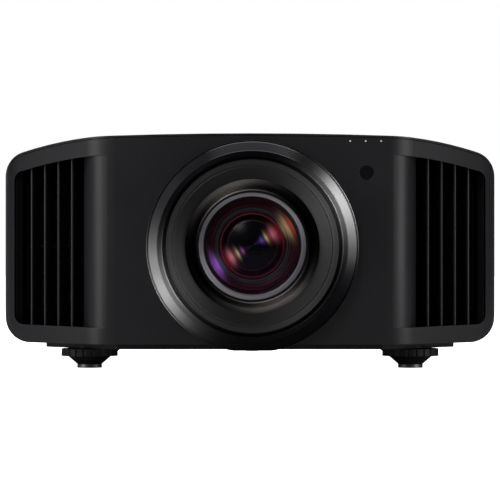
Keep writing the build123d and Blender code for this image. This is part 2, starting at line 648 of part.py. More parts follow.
H_LUG_X = H_HALF_X + SHIFT_H + SHIFT_GAP


def vertical_plate():
    plate = block(LENS_X - V_HALF_X, LENS_X + V_HALF_X, *PLATE_V, LENS_Z - V_HALF_Z, LENS_Z + V_HALF_Z)
    plate = plate - rod("y", TAIL_HOLE_R, PLATE_V[0] - 1, PLATE_V[1] + 1, LENS_X, LENS_Z)
    for side in (-1, 1):
        near, far = sorted((LENS_X + side * H_LUG_X, LENS_X + side * (H_LUG_X + LUG_T)))
        plate = plate + block(near, far, PLATE_H[0], PLATE_V[0] + 1, LENS_Z - H_HALF_Z - 12,
                              LENS_Z + H_HALF_Z + 2)
    for side in (-1, 1):
        plate = plate - rod("z", ROD_R + RUN_FIT, 0, HEIGHT, LENS_X + side * V_ROD_X, V_ROD_Y)
        plate = plate - rod("x", ROD_R, LENS_X - FAR, LENS_X + FAR, H_ROD_Y, LENS_Z + side * H_ROD_Z)
    plate = plate - rod("z", SCREW_R + SCREW_CLEAR, 0, HEIGHT, LENS_X + V_SCREW_X, V_ROD_Y)
    plate = plate - rod("x", SCREW_R + RUN_FIT, LENS_X - FAR, LENS_X + FAR, H_ROD_Y, LENS_Z + H_SCREW_Z)
    return plate


save("shift_plate_horizontal", horizontal_plate())
save("shift_plate_vertical", vertical_plate())
H_END = H_LUG_X + LUG_T
save("rods_horizontal", [rod("x", ROD_R, LENS_X - H_END, LENS_X + H_END, H_ROD_Y, LENS_Z + side * H_ROD_Z)
                         for side in (-1, 1)])

LUG_LOW = LENS_Z - V_HALF_Z - SHIFT_V - SHIFT_GAP
LUG_HIGH = LENS_Z + V_HALF_Z + SHIFT_V + SHIFT_GAP
FRAME_HALF = V_HALF_X + 6.0


def lens_frame():
    """Upright plate on the tray that carries the vertical rods and the whole lens."""
    frame = block(LENS_X - FRAME_HALF, LENS_X + FRAME_HALF, *FRAME_Y, FLOOR_Z, LUG_HIGH + LUG_T)
    frame = frame - rod("y", BARREL_TAIL_R + 10, FRAME_Y[0] - 1, FRAME_Y[1] + 1, LENS_X, LENS_Z)
    for z in (LUG_LOW - LUG_T, LUG_HIGH):
        frame = frame + block(LENS_X - FRAME_HALF, LENS_X + FRAME_HALF, V_ROD_Y - 6, FRAME_Y[0] + 1, z,
                              z + LUG_T)
    foot = block(LENS_X - FRAME_HALF, LENS_X + FRAME_HALF, FRAME_Y[0], FRAME_Y[1] + 22, FLOOR_Z,
                 FLOOR_Z + 4)
    frame = frame + foot
    for side in (-1, 1):
        frame = frame - rod("z", ROD_R, LUG_LOW - LUG_T - 1, HEIGHT, LENS_X + side * V_ROD_X, V_ROD_Y)
    frame = frame - rod("z", SCREW_R + RUN_FIT, LUG_LOW - LUG_T - 1, HEIGHT, LENS_X + V_SCREW_X, V_ROD_Y)
    return frame


save("lens_frame", lens_frame())
save("rods_vertical", [rod("z", ROD_R, LUG_LOW - LUG_T, LUG_HIGH + LUG_T, LENS_X + side * V_ROD_X, V_ROD_Y)
                       for side in (-1, 1)])
save("lead_screw_vertical", rod("z", SCREW_R, LUG_LOW - LUG_T + 0.5, LUG_HIGH + LUG_T, LENS_X + V_SCREW_X,
                                V_ROD_Y)
     - block(LENS_X + V_SCREW_X + SCREW_R - 0.8, LENS_X, -FAR, FAR, LUG_HIGH + LUG_T - 2, HEIGHT))
save("lead_screw_horizontal", rod("x", SCREW_R, LENS_X - H_END + 0.5, LENS_X + H_END, H_ROD_Y,
                                  LENS_Z + H_SCREW_Z)
     - block(LENS_X + H_END - 2, FAR, -FAR, FAR, LENS_Z + H_SCREW_Z + SCREW_R - 0.8, HEIGHT))
save("shift_motor_vertical", rod("z", 6.0, FLOOR_Z + 3, LUG_LOW - LUG_T, LENS_X + V_SCREW_X, V_ROD_Y))
save("shift_motor_horizontal", rod("x", 6.0, LENS_X - H_END - 22, LENS_X - H_END, H_ROD_Y,
                                   LENS_Z + H_SCREW_Z))

# ---------------------------------------------------------------- side louvres
LOUVRE_FRAME_T = 2.0
SWEEP_UNIT = (cos(radians(SWEEP)), sin(radians(SWEEP)))


def sweep_point(x, set_back):
    """Plan point set back square to the swept face, under the face point that is seen at x."""
    face_y = FACE_Y + (x - FACE_HALF) * tan(radians(SWEEP))
    return x - set_back * SWEEP_UNIT[1], face_y + set_back * SWEEP_UNIT[0]


def louvre():
    """Right-hand grille: upright blades between a floor, a roof and an end wall."""
    z0, z1 = VENT_LOW_Z - 3.5, roof_z(VENT_OUT_X - VENT_CORNER_R) - VENT_TOP_DROP + 3.0
    pieces = []
    for i in range(SLAT_COUNT):
        # the blade's nose is seen at nose_x; the blade runs back towards the middle
        nose_x = SLAT_FIRST_X + i * SLAT_PITCH + SLAT_SET_BACK * SWEEP_UNIT[1]
        nx, ny = sweep_point(nose_x, SLAT_SET_BACK)
        top = roof_z(nx) - VENT_TOP_DROP + 3.0
        blade = Pos(0, SLAT_LEN / 2, 0) * Rectangle(SLAT_T, SLAT_LEN) + Circle(SLAT_T / 2)
        blade = Pos(nx, ny, z0) * Rot(0, 0, SLAT_LEAN) * extrude(blade, top - z0)
        pieces.append(blade)
    inner_x, outer_x = SLAT_FIRST_X - 8.5, VENT_OUT_X + 4.5
    floor_plan = [sweep_point(inner_x + 6, 3.6), sweep_point(outer_x, 3.6), sweep_point(outer_x + 9, 26),
                  sweep_point(inner_x + 30, 40), sweep_point(inner_x + 9, 33)]
    floor = Pos(0, 0, z0 - LOUVRE_FRAME_T) * extrude(make_face(Polyline(floor_plan, close=True)),
                                                     LOUVRE_FRAME_T)
    # the roof plate slopes with the case, so it is cut from a tall prism between two arches
    tall = extrude(make_face(Polyline(floor_plan, close=True)), HEIGHT)
    high = case_solid(0.0, VENT_TOP_DROP - 3.0 - LOUVRE_FRAME_T)
    low = case_solid(0.0, VENT_TOP_DROP - 3.0)
    roof = (tall & high) - low
    roof = roof & block(0, HALF_W, -FAR, FAR, HEIGHT / 2, HEIGHT)
    wall_x = VENT_OUT_X + 0.4
    end_wall = Polyline([sweep_point(wall_x, 1), sweep_point(wall_x, VENT_WALL_DEEP),
                         sweep_point(wall_x + LOUVRE_FRAME_T, VENT_WALL_DEEP),
                         sweep_point(wall_x + LOUVRE_FRAME_T, 1)], close=True)
    end_wall = Pos(0, 0, z0 - 0.5) * extrude(make_face(end_wall), roof_z(wall_x) - VENT_TOP_DROP + 4.0 - z0)
    solid = floor + roof + pieces + end_wall
    # one shallow tie across the blades' tails
    tie0, tie1 = sweep_point(inner_x + 24, 24.0), sweep_point(outer_x + 4, 24.0)
    tie = Polyline([tie0, tie1, (tie1[0] - 2, tie1[1] + 2), (tie0[0] - 2, tie0[1] + 2)], close=True)
    solid = solid + Pos(0, 0, LENS_Z - 1.2) * extrude(make_face(tie), 2.4)
    return (solid & front_cavity) - vent_return()


right_louvre, left_louvre = both_sides(louvre())
save("louvre_right", right_louvre)
save("louvre_left", left_louvre)

# ---------------------------------------------------------------- rear
TERM_X = (-120.0, 108.0)
TERM_Z = (48.0, 98.0)
TERM_Y = BACK_Y - 8.0
INLET_X = 152.0
INLET_Z = 74.0
INLET_W, INLET_H = 30.0, 24.0
GRILLE_X = (-204.0, 204.0)
GRILLE_Z = (112.0, 196.0)
KEY_X = -168.0
KEY_Z = 74.0
KEY_R = 5.0
KEY_CLEAR = 0.4
KEY_TRAVEL = 1.2
KEY_PROUD = -0.2
KEYS = {"power": (-26.0, 0.0), "menu": (26.0, 0.0)}
PAD_OUT_R, PAD_IN_R, ENTER_R = 14.0, 7.4, 7.0
REAR_WINDOW_X, REAR_WINDOW_Z = 0.0, 211.0


TONGUE = 16.0
TONGUE_T = 2.6


def rear_panel():
    shell = (outer - cavity - bottom_hole) & block(-FAR, FAR, REAR_SPLIT_Y + GAP, FAR, 0, HEIGHT + 5)
    thick = REAR_SPLIT_Y, BACK_Y + 5
    shell = shell - block(*TERM_X, *thick, *TERM_Z)
    # a shallow tray behind the terminal opening carries the terminal plate
    tray = block(TERM_X[0] - 3, TERM_X[1] + 3, TERM_Y + 1.5, BACK_Y - 1, TERM_Z[0] - 3, TERM_Z[1] + 3)
    shell = shell + (tray - block(*TERM_X, *thick, *TERM_Z))
    shell = shell - block(INLET_X - INLET_W / 2, INLET_X + INLET_W / 2, *thick,
                          INLET_Z - INLET_H / 2, INLET_Z + INLET_H / 2)
    shell = shell - block(*GRILLE_X, *thick, *GRILLE_Z)
    # a tongue under the cover takes its screws
    tongue = (case_solid(SKIN) - case_solid(SKIN + TONGUE_T)) & block(
        -FAR, FAR, REAR_SPLIT_Y - TONGUE, REAR_SPLIT_Y + GAP + 1, SKIRT_Z + 20, HEIGHT)
    for x in COVER_SCREW_XS:
        tongue = tongue - rod("z", SCREW_R_CASE, HEIGHT - 14, HEIGHT, x, COVER_SCREW_Y)
    shell = shell + tongue
    for dx, dz in KEYS.values():
        shell = shell - rod("y", KEY_R + KEY_CLEAR, *thick, KEY_X + dx, KEY_Z + dz)
    shell = shell - rod("y", PAD_OUT_R + KEY_CLEAR, *thick, KEY_X, KEY_Z)
    shell = shell - rod("y", WINDOW_R + 0.2, *thick, REAR_WINDOW_X, REAR_WINDOW_Z)
    return shell


save("rear_panel", rear_panel())
rear_window = rod("y", WINDOW_R, BACK_Y - SKIN - 1.5, BACK_Y - 0.2, REAR_WINDOW_X, REAR_WINDOW_Z)
rear_window = rear_window + rod("y", WINDOW_R + 2, BACK_Y - SKIN - 1.5, BACK_Y - SKIN, REAR_WINDOW_X,
                                REAR_WINDOW_Z)
save("sensor_windows", [front_window, rear_window])


# ---- terminals: each entry is a centre and an opening size, seen from behind ----
SOCKETS = {
    "video_a": (-98.0, 82.0, 15.2, 5.6),
    "video_b": (-70.0, 82.0, 15.2, 5.6),
    "network": (-36.0, 80.0, 12.4, 8.4),
    "service": (-8.0, 82.0, 12.6, 5.4),
    "control": (34.0, 79.0, 17.4, 8.6),
}
JACKS = {"trigger": (66.0, 80.0, 3.2), "sync": (88.0, 80.0, 4.6)}
SOCKET_DEEP = 9.0
SOCKET_WALL = 1.2
TONGUE_SET = 4.0


def terminal_plate():
    plate = block(TERM_X[0] + 0.3, TERM_X[1] - 0.3, TERM_Y, TERM_Y + 1.5, TERM_Z[0] + 0.3, TERM_Z[1] - 0.3)
    flange = block(TERM_X[0] - 3, TERM_X[1] + 3, TERM_Y, TERM_Y + 1.5, TERM_Z[0] - 3, TERM_Z[1] + 3)
    plate = plate + flange
    for x, z, w, h in SOCKETS.values():
        e = SOCKET_WALL
        plate = plate - block(x - w / 2 - e, x + w / 2 + e, TERM_Y - 1, TERM_Y + 3, z - h / 2 - e,
                              z + h / 2 + e)
    for x, z, r in JACKS.values():
        plate = plate - rod("y", r + SOCKET_WALL, TERM_Y - 1, TERM_Y + 3, x, z)
    return plate


def socket_shells():
    made = []
    for x, z, w, h in SOCKETS.values():
        e = SOCKET_WALL
        case = block(x - w / 2 - e, x + w / 2 + e, TERM_Y - SOCKET_DEEP, TERM_Y + 2.5, z - h / 2 - e,
                     z + h / 2 + e)
        case = case - block(x - w / 2, x + w / 2, TERM_Y - SOCKET_DEEP + 1.5, TERM_Y + 3, z - h / 2,
                            z + h / 2)
        tongue = block(x - w * 0.38, x + w * 0.38, TERM_Y - SOCKET_DEEP + 1, TERM_Y - TONGUE_SET, z - 0.5,
                       z + 0.5)
        made.append(case + tongue)
    for x, z, r in JACKS.values():
        case = rod("y", r + SOCKET_WALL, TERM_Y - SOCKET_DEEP, TERM_Y + 2.5, x, z)
        made.append(case - rod("y", r, TERM_Y - SOCKET_DEEP + 1.5, TERM_Y + 3, x, z))
    return made


save("terminal_plate", terminal_plate())
save("terminal_sockets", socket_shells())


def power_inlet():
    """Three-blade appliance inlet in a flanged case, with no lead."""
    w, h = INLET_W - 0.4, INLET_H - 0.4
    y0, y1 = BACK_Y - 24.0, BACK_Y + 0.0
    case = block(INLET_X - w / 2, INLET_X + w / 2, y0, y1, INLET_Z - h / 2, INLET_Z + h / 2)
    case = case - block(INLET_X - w / 2 + 2.5, INLET_X + w / 2 - 2.5, y0 + 4, y1 + 1,
                        INLET_Z - h / 2 + 2.5, INLET_Z + h / 2 - 2.5)
    back = BACK_Y - SKIN
    case = case + block(INLET_X - w / 2 - 3, INLET_X + w / 2 + 3, back - 1.6, back,
                        INLET_Z - h / 2 - 3, INLET_Z + h / 2 + 3) - \
        block(INLET_X - w / 2 + 2.5, INLET_X + w / 2 - 2.5, y0 + 4, y1 + 1,
              INLET_Z - h / 2 + 2.5, INLET_Z + h / 2 - 2.5)
    for dx, dz in ((-7.0, -2.0), (7.0, -2.0), (0.0, 3.0)):
        case = case + block(INLET_X + dx - 1, INLET_X + dx + 1, y0 + 3, y0 + 12, INLET_Z + dz - 2,
                            INLET_Z + dz + 2)
    return case


save("power_inlet", power_inlet())


# ---- control keys on the rear panel ----
KEY_FLANGE = 1.5
KEY_BACK_Y = BACK_Y - SKIN - KEY_FLANGE
KEY_STEM = 5.0


def key(r, x, z, bore=0.0):
    """A key cap with a wider flange that keeps it behind the panel."""
    cap = rod("y", r, KEY_BACK_Y, BACK_Y + KEY_PROUD, x, z)
    flange = rod("y", r + 1.2, KEY_BACK_Y - 0.3, KEY_BACK_Y + KEY_FLANGE - 0.3, x, z)
    solid = cap + flange
    if bore:
        solid = solid - rod("y", bore, KEY_BACK_Y - 2, BACK_Y + 5, x, z)
    return solid


for name, (dx, dz) in KEYS.items():
    save(f"key_{name}", key(KEY_R, KEY_X + dx, KEY_Z + dz))
save("key_cursor", key(PAD_OUT_R, KEY_X, KEY_Z, PAD_IN_R + 1.6))
save("key_enter", rod("y", ENTER_R, KEY_BACK_Y, BACK_Y + KEY_PROUD, KEY_X, KEY_Z)
     + rod("y", ENTER_R + 1.2, KEY_BACK_Y - 0.3, KEY_BACK_Y + 1.2, KEY_X, KEY_Z))


# ---- rear air filters: slatted covers that pull off, and foam behind them ----
COVER_T = 4.0
COVER_SLATS = 9
COVER_BAYS = 4
COVER_CLEAR = 0.4


def filter_cover():
    x0, x1 = GRILLE_X[0] + COVER_CLEAR, GRILLE_X[1] - COVER_CLEAR
    z0, z1 = GRILLE_Z[0] + COVER_CLEAR, GRILLE_Z[1] - COVER_CLEAR
    cover = block(x0, x1, BACK_Y - COVER_T - 0.3, BACK_Y - 0.3, z0, z1)
    pitch = (z1 - z0 - 8) / COVER_SLATS
    bay = (x1 - x0 - 8) / COVER_BAYS
    for i in range(COVER_SLATS):
        z = z0 + 4 + pitch * (i + 0.5)
        for j in range(COVER_BAYS):
            a = x0 + 4 + bay * j
            cover = cover - block(a + 2, a + bay - 2, BACK_Y - COVER_T - 2, BACK_Y + 2,
                                  z - pitch * 0.28, z + pitch * 0.28)
    return cover


save("filter_cover", filter_cover())
FILTER_T = 8.0
FILTER_Y = BACK_Y - COVER_T - 1.0
save("air_filter", block(GRILLE_X[0] - 2, GRILLE_X[1] + 2, FILTER_Y - FILTER_T, FILTER_Y,
                         GRILLE_Z[0] - 2, GRILLE_Z[1] + 2))

# ---------------------------------------------------------------- cooling
FAN_SIZE = 92.0
FAN_T = 25.0
FAN_X = 178.0
FAN_Z = 122.0
FAN_Y = -84.0
ROTOR_R = 42.0
FAN_HUB_R = 19.0
BLADES = 7
FAN_STUB_R = 2.0


def fan_frame(x):
    half = FAN_SIZE / 2
    frame = block(x - half, x + half, FAN_Y, FAN_Y + FAN_T, FAN_Z - half, FAN_Z + half)
    frame = frame - rod("y", ROTOR_R + 1.5, FAN_Y - 1, FAN_Y + FAN_T + 1, x, FAN_Z)
    spider = rod("y", FAN_HUB_R, FAN_Y, FAN_Y + 4, x, FAN_Z)
    for i in range(3):
        arm = Pos(half / 2 + 4, 0, 0) * Box(half, 4, 4)
        spider = spider + Pos(x, FAN_Y + 2, FAN_Z) * Rot(0, 90 + 120 * i, 0) * arm
    spider = spider & rod("y", ROTOR_R + 2.5, FAN_Y, FAN_Y + 4, x, FAN_Z)
    return frame + spider + rod("y", FAN_STUB_R, FAN_Y + 3, FAN_Y + FAN_T - 4, x, FAN_Z)


def fan_rotor(x, hand):
    """Hub with swept flat blades that turns on the frame's stub."""
    y0, y1 = FAN_Y + 5.0, FAN_Y + FAN_T - 2.0
    rotor = rod("y", FAN_HUB_R, y0, y1, x, FAN_Z)
    blade = Pos((FAN_HUB_R + ROTOR_R) / 2 - 1, 0, 0) * Rot(hand * 38, 0, 0) * Box(ROTOR_R - FAN_HUB_R, 18.0,
                                                                                  1.6)
    blades = [Pos(x, (y0 + y1) / 2, FAN_Z) * Rot(0, 360 * i / BLADES, 0) * blade for i in range(BLADES)]
    rotor = rotor + blades
    return rotor - rod("y", FAN_STUB_R + RUN_FIT, FAN_Y, y1 - 2, x, FAN_Z)


save("fan_frames", [fan_frame(FAN_X), fan_frame(-FAN_X)])
save("fan_rotor_right", fan_rotor(FAN_X, 1))
save("fan_rotor_left", fan_rotor(-FAN_X, -1))


def duct():
    """Flared sleeve that carries air from the fan to the louvre."""
    half = FAN_SIZE / 2
    back = Plane(origin=(FAN_X, FAN_Y - 0.5, FAN_Z), x_dir=(1, 0, 0), z_dir=(0, -1, 0))
    outer_duct = loft([back * RectangleRounded(FAN_SIZE, FAN_SIZE, 6),
                       back.offset(18) * RectangleRounded(FAN_SIZE + 12, FAN_SIZE + 40, 6)])
    inner_duct = loft([back.offset(-0.1) * RectangleRounded(FAN_SIZE - 4, FAN_SIZE - 4, 5),
                       back.offset(18.1) * RectangleRounded(FAN_SIZE + 8, FAN_SIZE + 36, 5)])
    return outer_duct - inner_duct


save("exhaust_ducts", both_sides(duct()))

# ---------------------------------------------------------------- optics and electronics
CHASSIS_T = 3.0
IRIS_Y = -53.4
PIVOT_X = 26.0
PIVOT_R = 1.5
IRIS_T = 1.0


def optical_chassis():
    """Cast tray on legs that carries the iris, the prism and the light engine."""
    x0, x1 = LENS_X - 62, LENS_X + 62
    tray = block(x0, x1, FRAME_Y[1] + 22, 172, 66, 66 + CHASSIS_T)
    for x in (x0 + 8, x1 - 8):
        for y in (FRAME_Y[1] + 30, 164):
            tray = tray + rod("z", 5, FLOOR_Z, 67, x, y)
    gate = block(x0 + 20, x1 - 20, -58, -54, 66, LENS_Z + 40)
    tray = tray + (gate - rod("y", 20, -60, -50, LENS_X, LENS_Z))
    for side in (-1, 1):
        tray = tray + rod("y", PIVOT_R, -55, -48, LENS_X + side * PIVOT_X, LENS_Z)
    return tray


save("optical_chassis", optical_chassis())
PRISM = 34.0
PRISM_MID_Y = -6.0
prism = Pos(LENS_X, PRISM_MID_Y, LENS_Z) * Box(PRISM, PRISM, PRISM)
save("prism_cube", prism + block(LENS_X - 12, LENS_X + 12, PRISM_MID_Y - 12, PRISM_MID_Y + 12,
                                 66 + CHASSIS_T,
                                 LENS_Z - PRISM / 2))
PANEL_T = 4.0
save("imaging_panels", [
    Pos(LENS_X - PRISM / 2 - PANEL_T / 2, PRISM_MID_Y, LENS_Z) * Box(PANEL_T, 30, 28),
    Pos(LENS_X + PRISM / 2 + PANEL_T / 2, PRISM_MID_Y, LENS_Z) * Box(PANEL_T, 30, 28),
    Pos(LENS_X, PRISM_MID_Y + PRISM / 2 + PANEL_T / 2, LENS_Z) * Box(30, PANEL_T, 28)])


def iris_blade(side, layer):
    """Half-moon shutter that swings on a pin beside the aperture."""
    y0 = IRIS_Y + layer * 1.6
    blade = block(0, 24, y0, y0 + IRIS_T, -17, 17) - rod("y", 13, y0 - 1, y0 + 2, -2, 0)
    arm = block(18, PIVOT_X + 4, y0, y0 + IRIS_T, -5, 5)
    blade = blade + arm - rod("y", PIVOT_R + RUN_FIT, y0 - 1, y0 + 2, PIVOT_X, 0)
    blade = blade if side > 0 else blade.mirror(Plane.YZ)
    return Pos(LENS_X, 0, LENS_Z) * blade


save("iris_blade_right", iris_blade(1, 0))
save("iris_blade_left", iris_blade(-1, 1))

SINK_Y = (92.0, 164.0)
save("light_engine", block(LENS_X - 46, LENS_X + 46, 30, SINK_Y[0], 66 + CHASSIS_T, 150))
fins = [block(LENS_X - 54 + i * 9, LENS_X - 51 + i * 9, *SINK_Y, 76, 160) for i in range(13)]
sink = block(LENS_X - 54, LENS_X + 57, *SINK_Y, 66 + CHASSIS_T, 77)
for fin in fins:
    sink = sink + fin
save("heat_sink", sink)
# the supply's case is open at the back, where its leads come out
SUPPLY_X, SUPPLY_Y, SUPPLY_TALL, SUPPLY_WALL = (82.0, 196.0), (0.0, 170.0), 62.0, 1.6
supply = block(*SUPPLY_X, *SUPPLY_Y, SUPPLY_Z, SUPPLY_Z + SUPPLY_TALL)
save("power_supply", supply - block(SUPPLY_X[0] + SUPPLY_WALL, SUPPLY_X[1] - SUPPLY_WALL,
                                    SUPPLY_Y[0] + SUPPLY_WALL,
                                    SUPPLY_Y[1] + 1, SUPPLY_Z + SUPPLY_WALL,
                                    SUPPLY_Z + SUPPLY_TALL - SUPPLY_WALL))
save("main_board", block(-196, -78, 0, 196, BOARD_Z, BOARD_Z + 1.6)
     + block(-170, -130, 40, 90, BOARD_Z + 1, BOARD_Z + 12) + block(-120, -92, 110, 150, BOARD_Z + 1,
                                                                    BOARD_Z + 8))

save("case_screws", [rod("z", SCREW_HEAD_R, roof_z(x) - HEAD_SINK, roof_z(x) - 0.1, x, COVER_SCREW_Y)
                     + rod("z", SCREW_R_CASE, roof_z(x) - 9, roof_z(x) - 1, x, COVER_SCREW_Y)
                     - rod("z", 1.5, roof_z(x) - 0.9, roof_z(x) + 1, x,
                           COVER_SCREW_Y) for x in COVER_SCREW_XS])
print(len(MADE), "nodes")
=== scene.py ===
"""Looks of the home projector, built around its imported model. Laid out as an add-on and run as a script."""
import math

import bmesh
import bpy
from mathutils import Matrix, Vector


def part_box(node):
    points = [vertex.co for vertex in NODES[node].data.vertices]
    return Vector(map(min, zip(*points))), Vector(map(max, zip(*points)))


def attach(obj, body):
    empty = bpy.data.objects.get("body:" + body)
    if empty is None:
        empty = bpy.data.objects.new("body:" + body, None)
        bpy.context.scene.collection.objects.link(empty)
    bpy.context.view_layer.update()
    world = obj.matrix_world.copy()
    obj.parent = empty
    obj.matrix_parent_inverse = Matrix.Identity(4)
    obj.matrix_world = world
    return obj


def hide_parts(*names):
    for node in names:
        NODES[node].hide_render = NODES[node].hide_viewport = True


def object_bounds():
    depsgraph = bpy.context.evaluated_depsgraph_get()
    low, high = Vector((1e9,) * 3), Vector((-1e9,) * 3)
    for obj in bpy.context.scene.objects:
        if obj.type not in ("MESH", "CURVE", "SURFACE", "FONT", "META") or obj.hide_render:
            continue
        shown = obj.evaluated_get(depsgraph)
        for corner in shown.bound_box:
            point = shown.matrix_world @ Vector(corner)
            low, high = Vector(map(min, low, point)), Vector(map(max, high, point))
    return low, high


bl_info = {
    "name": "Home Projector Looks",
    "version": (1, 0, 0),
    "blender": (4, 5, 0),
    "location": "View3D > Sidebar > Projector",
    "description": "Finishes, lens elements, screens, fasteners and the studio for a home projector",
    "category": "Object",
}

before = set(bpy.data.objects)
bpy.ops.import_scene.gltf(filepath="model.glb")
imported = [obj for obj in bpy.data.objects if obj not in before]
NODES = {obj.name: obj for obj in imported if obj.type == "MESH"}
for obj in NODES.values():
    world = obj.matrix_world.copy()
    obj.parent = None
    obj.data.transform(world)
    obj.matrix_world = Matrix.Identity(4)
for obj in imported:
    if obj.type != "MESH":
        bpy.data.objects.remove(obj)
CAD_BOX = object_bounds()

MM = 0.001
BEZEL_LOW, BEZEL_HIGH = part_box("lens_bezel")
LENS_X = (BEZEL_LOW.x + BEZEL_HIGH.x) / 2
LENS_Z = (BEZEL_LOW.z + BEZEL_HIGH.z) / 2
FACE_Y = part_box("front_panel")[0].y
BACK_Y = CAD_BOX[1].y
MADE = {}


# ---------------------------------------------------------------- small helpers

def linear(code, alpha=1.0):
    """An sRGB hex colour as linear values with alpha."""
    parts = [int(code[i:i + 2], 16) / 255 for i in (1, 3, 5)]
    return [c / 12.92 if c <= 0.04045 else ((c + 0.055) / 1.055) ** 2.4 for c in parts] + [alpha]


def add(tree, kind, inputs=None, **settings):
    """Add a node; inputs maps a socket's name or number to a value or to another node's output."""
    node = tree.nodes.new(kind)
    for key, value in settings.items():
        setattr(node, key, value)
    for key, value in (inputs or {}).items():
        socket = node.inputs[key]
        if isinstance(value, bpy.types.NodeSocket):
            tree.links.new(value, socket)
        else:
            socket.default_value = value
    return node


def ramp(tree, fac, stops, interpolation="LINEAR"):
    """A colour ramp with (place, hex) stops."""
    node = add(tree, "ShaderNodeValToRGB", {"Fac": fac})
    node.color_ramp.interpolation = interpolation
    elements = node.color_ramp.elements
    while len(elements) < len(stops):
        elements.new(0.5)
    for element, (place, code) in zip(elements, stops):
        element.position = place
        element.color = linear(code) if isinstance(code, str) else (code, code, code, 1)
    return node


def new_material(name):
    """An empty node material with its output, and the object's coordinates."""
    material = bpy.data.materials.new(name)
    material.use_nodes = True
    tree = material.node_tree
    tree.nodes.clear()
    out = tree.nodes.new("ShaderNodeOutputMaterial")
    place = add(tree, "ShaderNodeTexCoord").outputs["Object"]
    return material, tree, out, place


def soft_normal(tree, radius, height=None, strength=0.2, distance=0.0001):
    """Edges rounded by a small radius, with an optional fine relief on top."""
    edge = add(tree, "ShaderNodeBevel", {"Radius": radius}, samples=6)
    if height is None:
        return edge.outputs[0]
    bump = add(tree, "ShaderNodeBump", {"Height": height, "Strength": strength, "Distance": distance,
                                       "Normal": edge.outputs[0]})
    return bump.outputs[0]


def lens_offset(tree, place):
    """Place measured from the lens axis, with depth removed."""
    move = add(tree, "ShaderNodeVectorMath", {0: place, 1: (LENS_X, 0, LENS_Z)}, operation="SUBTRACT")
    flat = add(tree, "ShaderNodeVectorMath", {0: move.outputs[0], 1: (1, 0, 1)}, operation="MULTIPLY")
    return flat.outputs[0]


def painted_highlight_fans(tree, place, fan_deg, power):
    """Two opposite sectors round the lens axis, 0 to 1, where a highlight is painted into the colour, and the
    place along them.
    """
    offset = lens_offset(tree, place)
    turn = add(tree, "ShaderNodeVectorRotate", {"Vector": offset, "Axis": (0, 1, 0),
                                                "Angle": math.radians(fan_deg)}, rotation_type="AXIS_ANGLE")
    split = add(tree, "ShaderNodeSeparateXYZ", {0: turn.outputs[0]})
    reach = add(tree, "ShaderNodeVectorMath", {0: offset}, operation="LENGTH").outputs["Value"]
    share = add(tree, "ShaderNodeMath", {0: split.outputs["X"], 1: reach}, operation="DIVIDE").outputs[0]
    share = add(tree, "ShaderNodeMath", {0: share}, operation="ABSOLUTE").outputs[0]
    fan = add(tree, "ShaderNodeMath", {0: share, 1: power}, operation="POWER").outputs[0]
    return fan, split.outputs["X"], reach, offset


# ---------------------------------------------------------------- materials

def moulded_plastic(name, tint, rough, grain_mm, relief, edge_mm=0.6, coat=0.0):
    """Injection-moulded black ABS: a satin skin with a spark-eroded grain and softly rounded edges."""
    material, tree, out, place = new_material(name)
    # grain 0.3 to 0.5 mm across, drawn a little coarser than the real one so that it shows
    grain = add(tree, "ShaderNodeTexNoise", {"Vector": place, "Scale": 1 / (grain_mm * MM), "Detail": 3.0,
                                             "Roughness": 0.6})
    # slow flow marks and handling vary the gloss by a few percent
    flow = add(tree, "ShaderNodeTexNoise", {"Vector": place, "Scale": 9.0, "Detail": 4.0, "Roughness": 0.55})
    tone = ramp(tree, flow.outputs["Fac"], [(0.3, tint[0]), (0.7, tint[1])])
    gloss = add(tree, "ShaderNodeMapRange", {"Value": flow.outputs["Fac"], "From Min": 0.3, "From Max": 0.7,
                                             "To Min": rough - 0.03, "To Max": rough + 0.04})
    skin = add(tree, "ShaderNodeBsdfPrincipled", {
        "Base Color": tone.outputs[0], "Roughness": gloss.outputs[0], "IOR": 1.5, "Coat Weight": coat,
        "Coat Roughness": 0.2, "Normal": soft_normal(tree, edge_mm * MM, grain.outputs["Fac"], relief)})
    tree.links.new(skin.outputs[0], out.inputs[0])
    return material


def turned_metal(name, tint, rough, pitch_mm, fan_deg, power, painted_highlight_tone, metallic=1.0, bands=None):
    """Blackened aluminium faced on a lathe: a highlight is painted into its colour in two opposite sectors,
    dark between; its gloss, rough across the rings, also catches the lights.
    """
    material, tree, out, place = new_material(name)
    fan, _, reach, offset = painted_highlight_fans(tree, place, fan_deg, power)
    # feed marks of the tool, one ring for each turn, uneven as a worn tip leaves them
    rings = add(tree, "ShaderNodeTexNoise", {"W": reach, "Scale": 1 / (pitch_mm * MM), "Detail": 4.0},
                noise_dimensions="1D")
    dark = ramp(tree, rings.outputs["Fac"], [(0.35, tint[0]), (0.65, tint[1])])
    # painted highlight: the colour lightens from the ring tones to the painted highlight tone in the two
    # sectors
    tone = add(tree, "ShaderNodeMix", {0: fan, 6: dark.outputs[0], 7: linear(painted_highlight_tone)},
               data_type="RGBA").outputs[2]
    if bands:
        # paint that starts or stops at a radius
        where = add(tree, "ShaderNodeMath", {0: reach, 1: 0.1}, operation="DIVIDE").outputs[0]
        paint = ramp(tree, where, bands, "CONSTANT")
        tone = add(tree, "ShaderNodeMix", {0: 1.0, 6: tone, 7: paint.outputs[0]}, data_type="RGBA",
                   blend_type="MULTIPLY").outputs[2]
    gloss = add(tree, "ShaderNodeMapRange", {"Value": rings.outputs["Fac"], "From Min": 0.3, "From Max": 0.7,
                                             "To Min": rough - 0.05, "To Max": rough + 0.06})
    # rough across the rings and smooth along them
    across = add(tree, "ShaderNodeVectorMath", {0: offset}, operation="NORMALIZE")
    metal = add(tree, "ShaderNodeBsdfPrincipled", {
        "Base Color": tone, "Metallic": metallic, "Roughness": gloss.outputs[0],
        "Anisotropic": 0.7, "Tangent": across.outputs[0],
        "Normal": soft_normal(tree, 0.35 * MM, rings.outputs["Fac"], 0.12, 0.00003)})
    tree.links.new(metal.outputs[0], out.inputs[0])
    return material


